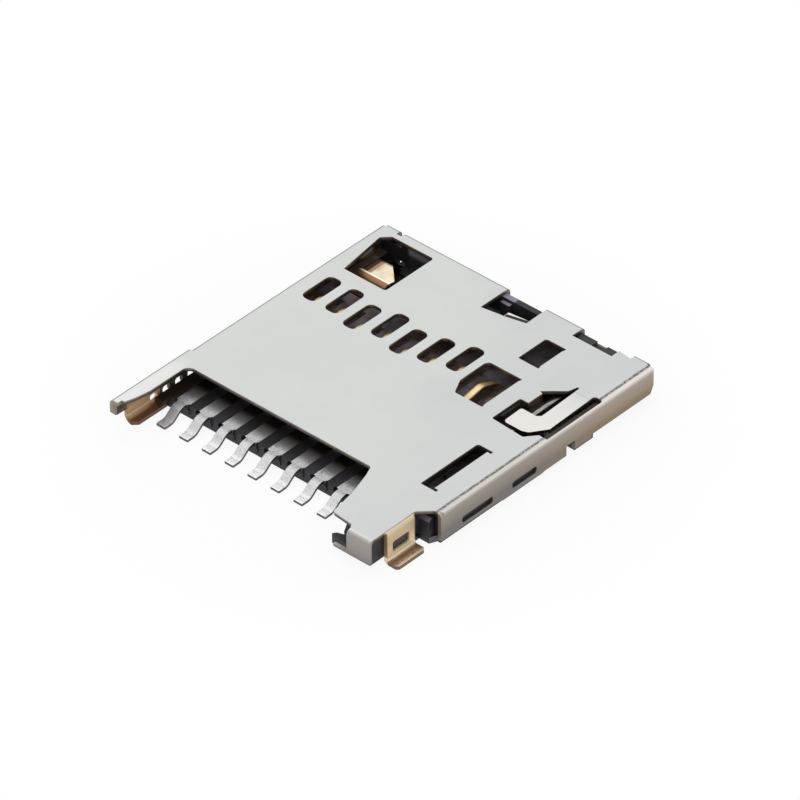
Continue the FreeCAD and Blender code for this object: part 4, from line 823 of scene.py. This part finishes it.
def makeFloor():
    deselectAll()
    bpy.ops.mesh.primitive_grid_add(x_subdivisions=floorPlan["cells"], y_subdivisions=floorPlan["cells"],
                                    size=floorPlan["size"], location=(0, 0, cadBox[0][2] - floorPlan["below"]))
    floor = bpy.context.active_object
    floor.name = "floor"
    white = (floorPlan["white"],) * 3 + (1,)
    paper = Finish("floorPaper", Roughness=floorPlan["roughness"], Base_Color=white)
    away = (paper.x * paper.x + paper.y * paper.y) ** 0.5
    glow = paper.node("ShaderNodeEmission", {}, {"Color": (1, 1, 1, 1), "Strength": 1.0})
    both = paper.node("ShaderNodeMixShader", {}, {
        0: paper.whiteRays() * paper.ramp(away, *floorPlan["glowRange"]),
        1: Wire(paper, paper.target.outputs[0]), 2: glow})
    paper.tree.links.new(both.socket, paper.first("OUTPUT_MATERIAL").inputs["Surface"])
    floor.data.materials.append(paper.material)


lightPlan = {
    "keyPlace": (-0.10, -0.04, 0.38), "keySize": 0.44, "keyPower": 0.45,
    "fillPlace": (0.30, -0.26, 0.20), "fillSize": 0.25, "fillPower": 0.16,
    "sky": 0.72,
}


def makeLights():
    for name in ("key", "fill"):
        place = Vector(lightPlan[name + "Place"])
        bpy.ops.object.light_add(type="AREA", location=place)
        lamp = bpy.context.active_object
        lamp.name = name + "Lamp"
        lamp.data.size = lightPlan[name + "Size"]
        lamp.data.energy = lightPlan[name + "Power"]
        lamp.rotation_euler = place.to_track_quat("Z", "Y").to_euler()
    world = bpy.context.scene.world or bpy.data.worlds.new("sky")
    bpy.context.scene.world = world
    world.use_nodes = True
    sky = Graph(world.node_tree, "BACKGROUND")
    sky.target.inputs["Color"].default_value = (1, 1, 1, 1)
    sky.feed("Strength", sky.ramp(sky.whiteRays(), 0, 1, lightPlan["sky"], 1.0))


cameraPlan = {
    "azimuth": 42.31, "elevation": 37.32, "roll": -0.32,  # degrees
    "distance": 306.46, "lookAt": (-1.58, 4.42, 0.0), "across": -1.289, "up": -2.116,
    "lens": 384.6, "sensor": 36, "near": 0.01, "far": 10,
}


def makeCamera():
    plan = cameraPlan
    azimuth, elevation, roll = (math.radians(plan[name]) for name in ("azimuth", "elevation", "roll"))
    back = Vector((math.sin(azimuth) * math.cos(elevation), -math.cos(azimuth) * math.cos(elevation),
                   math.sin(elevation)))
    level = Vector((math.cos(azimuth), math.sin(azimuth), 0))
    upright = back.cross(level)
    right = math.cos(roll) * level + math.sin(roll) * upright
    up = math.cos(roll) * upright - math.sin(roll) * level
    place = Vector(plan["lookAt"]) + back * plan["distance"] + right * plan["across"] + up * plan["up"]
    bpy.ops.object.camera_add()
    camera = bpy.context.active_object
    camera.matrix_world = Matrix.Translation(place * mm) @ Matrix((right, up, back)).transposed().to_4x4()
    camera.data.lens = plan["lens"]
    camera.data.sensor_width = plan["sensor"]
    camera.data.clip_start = plan["near"]
    camera.data.clip_end = plan["far"]
    bpy.context.scene.camera = camera


makeFloor()
makeLights()
makeCamera()
bpy.context.scene.view_settings.view_transform = "Standard"
print("floor, lights and camera ready")

deselectAll()
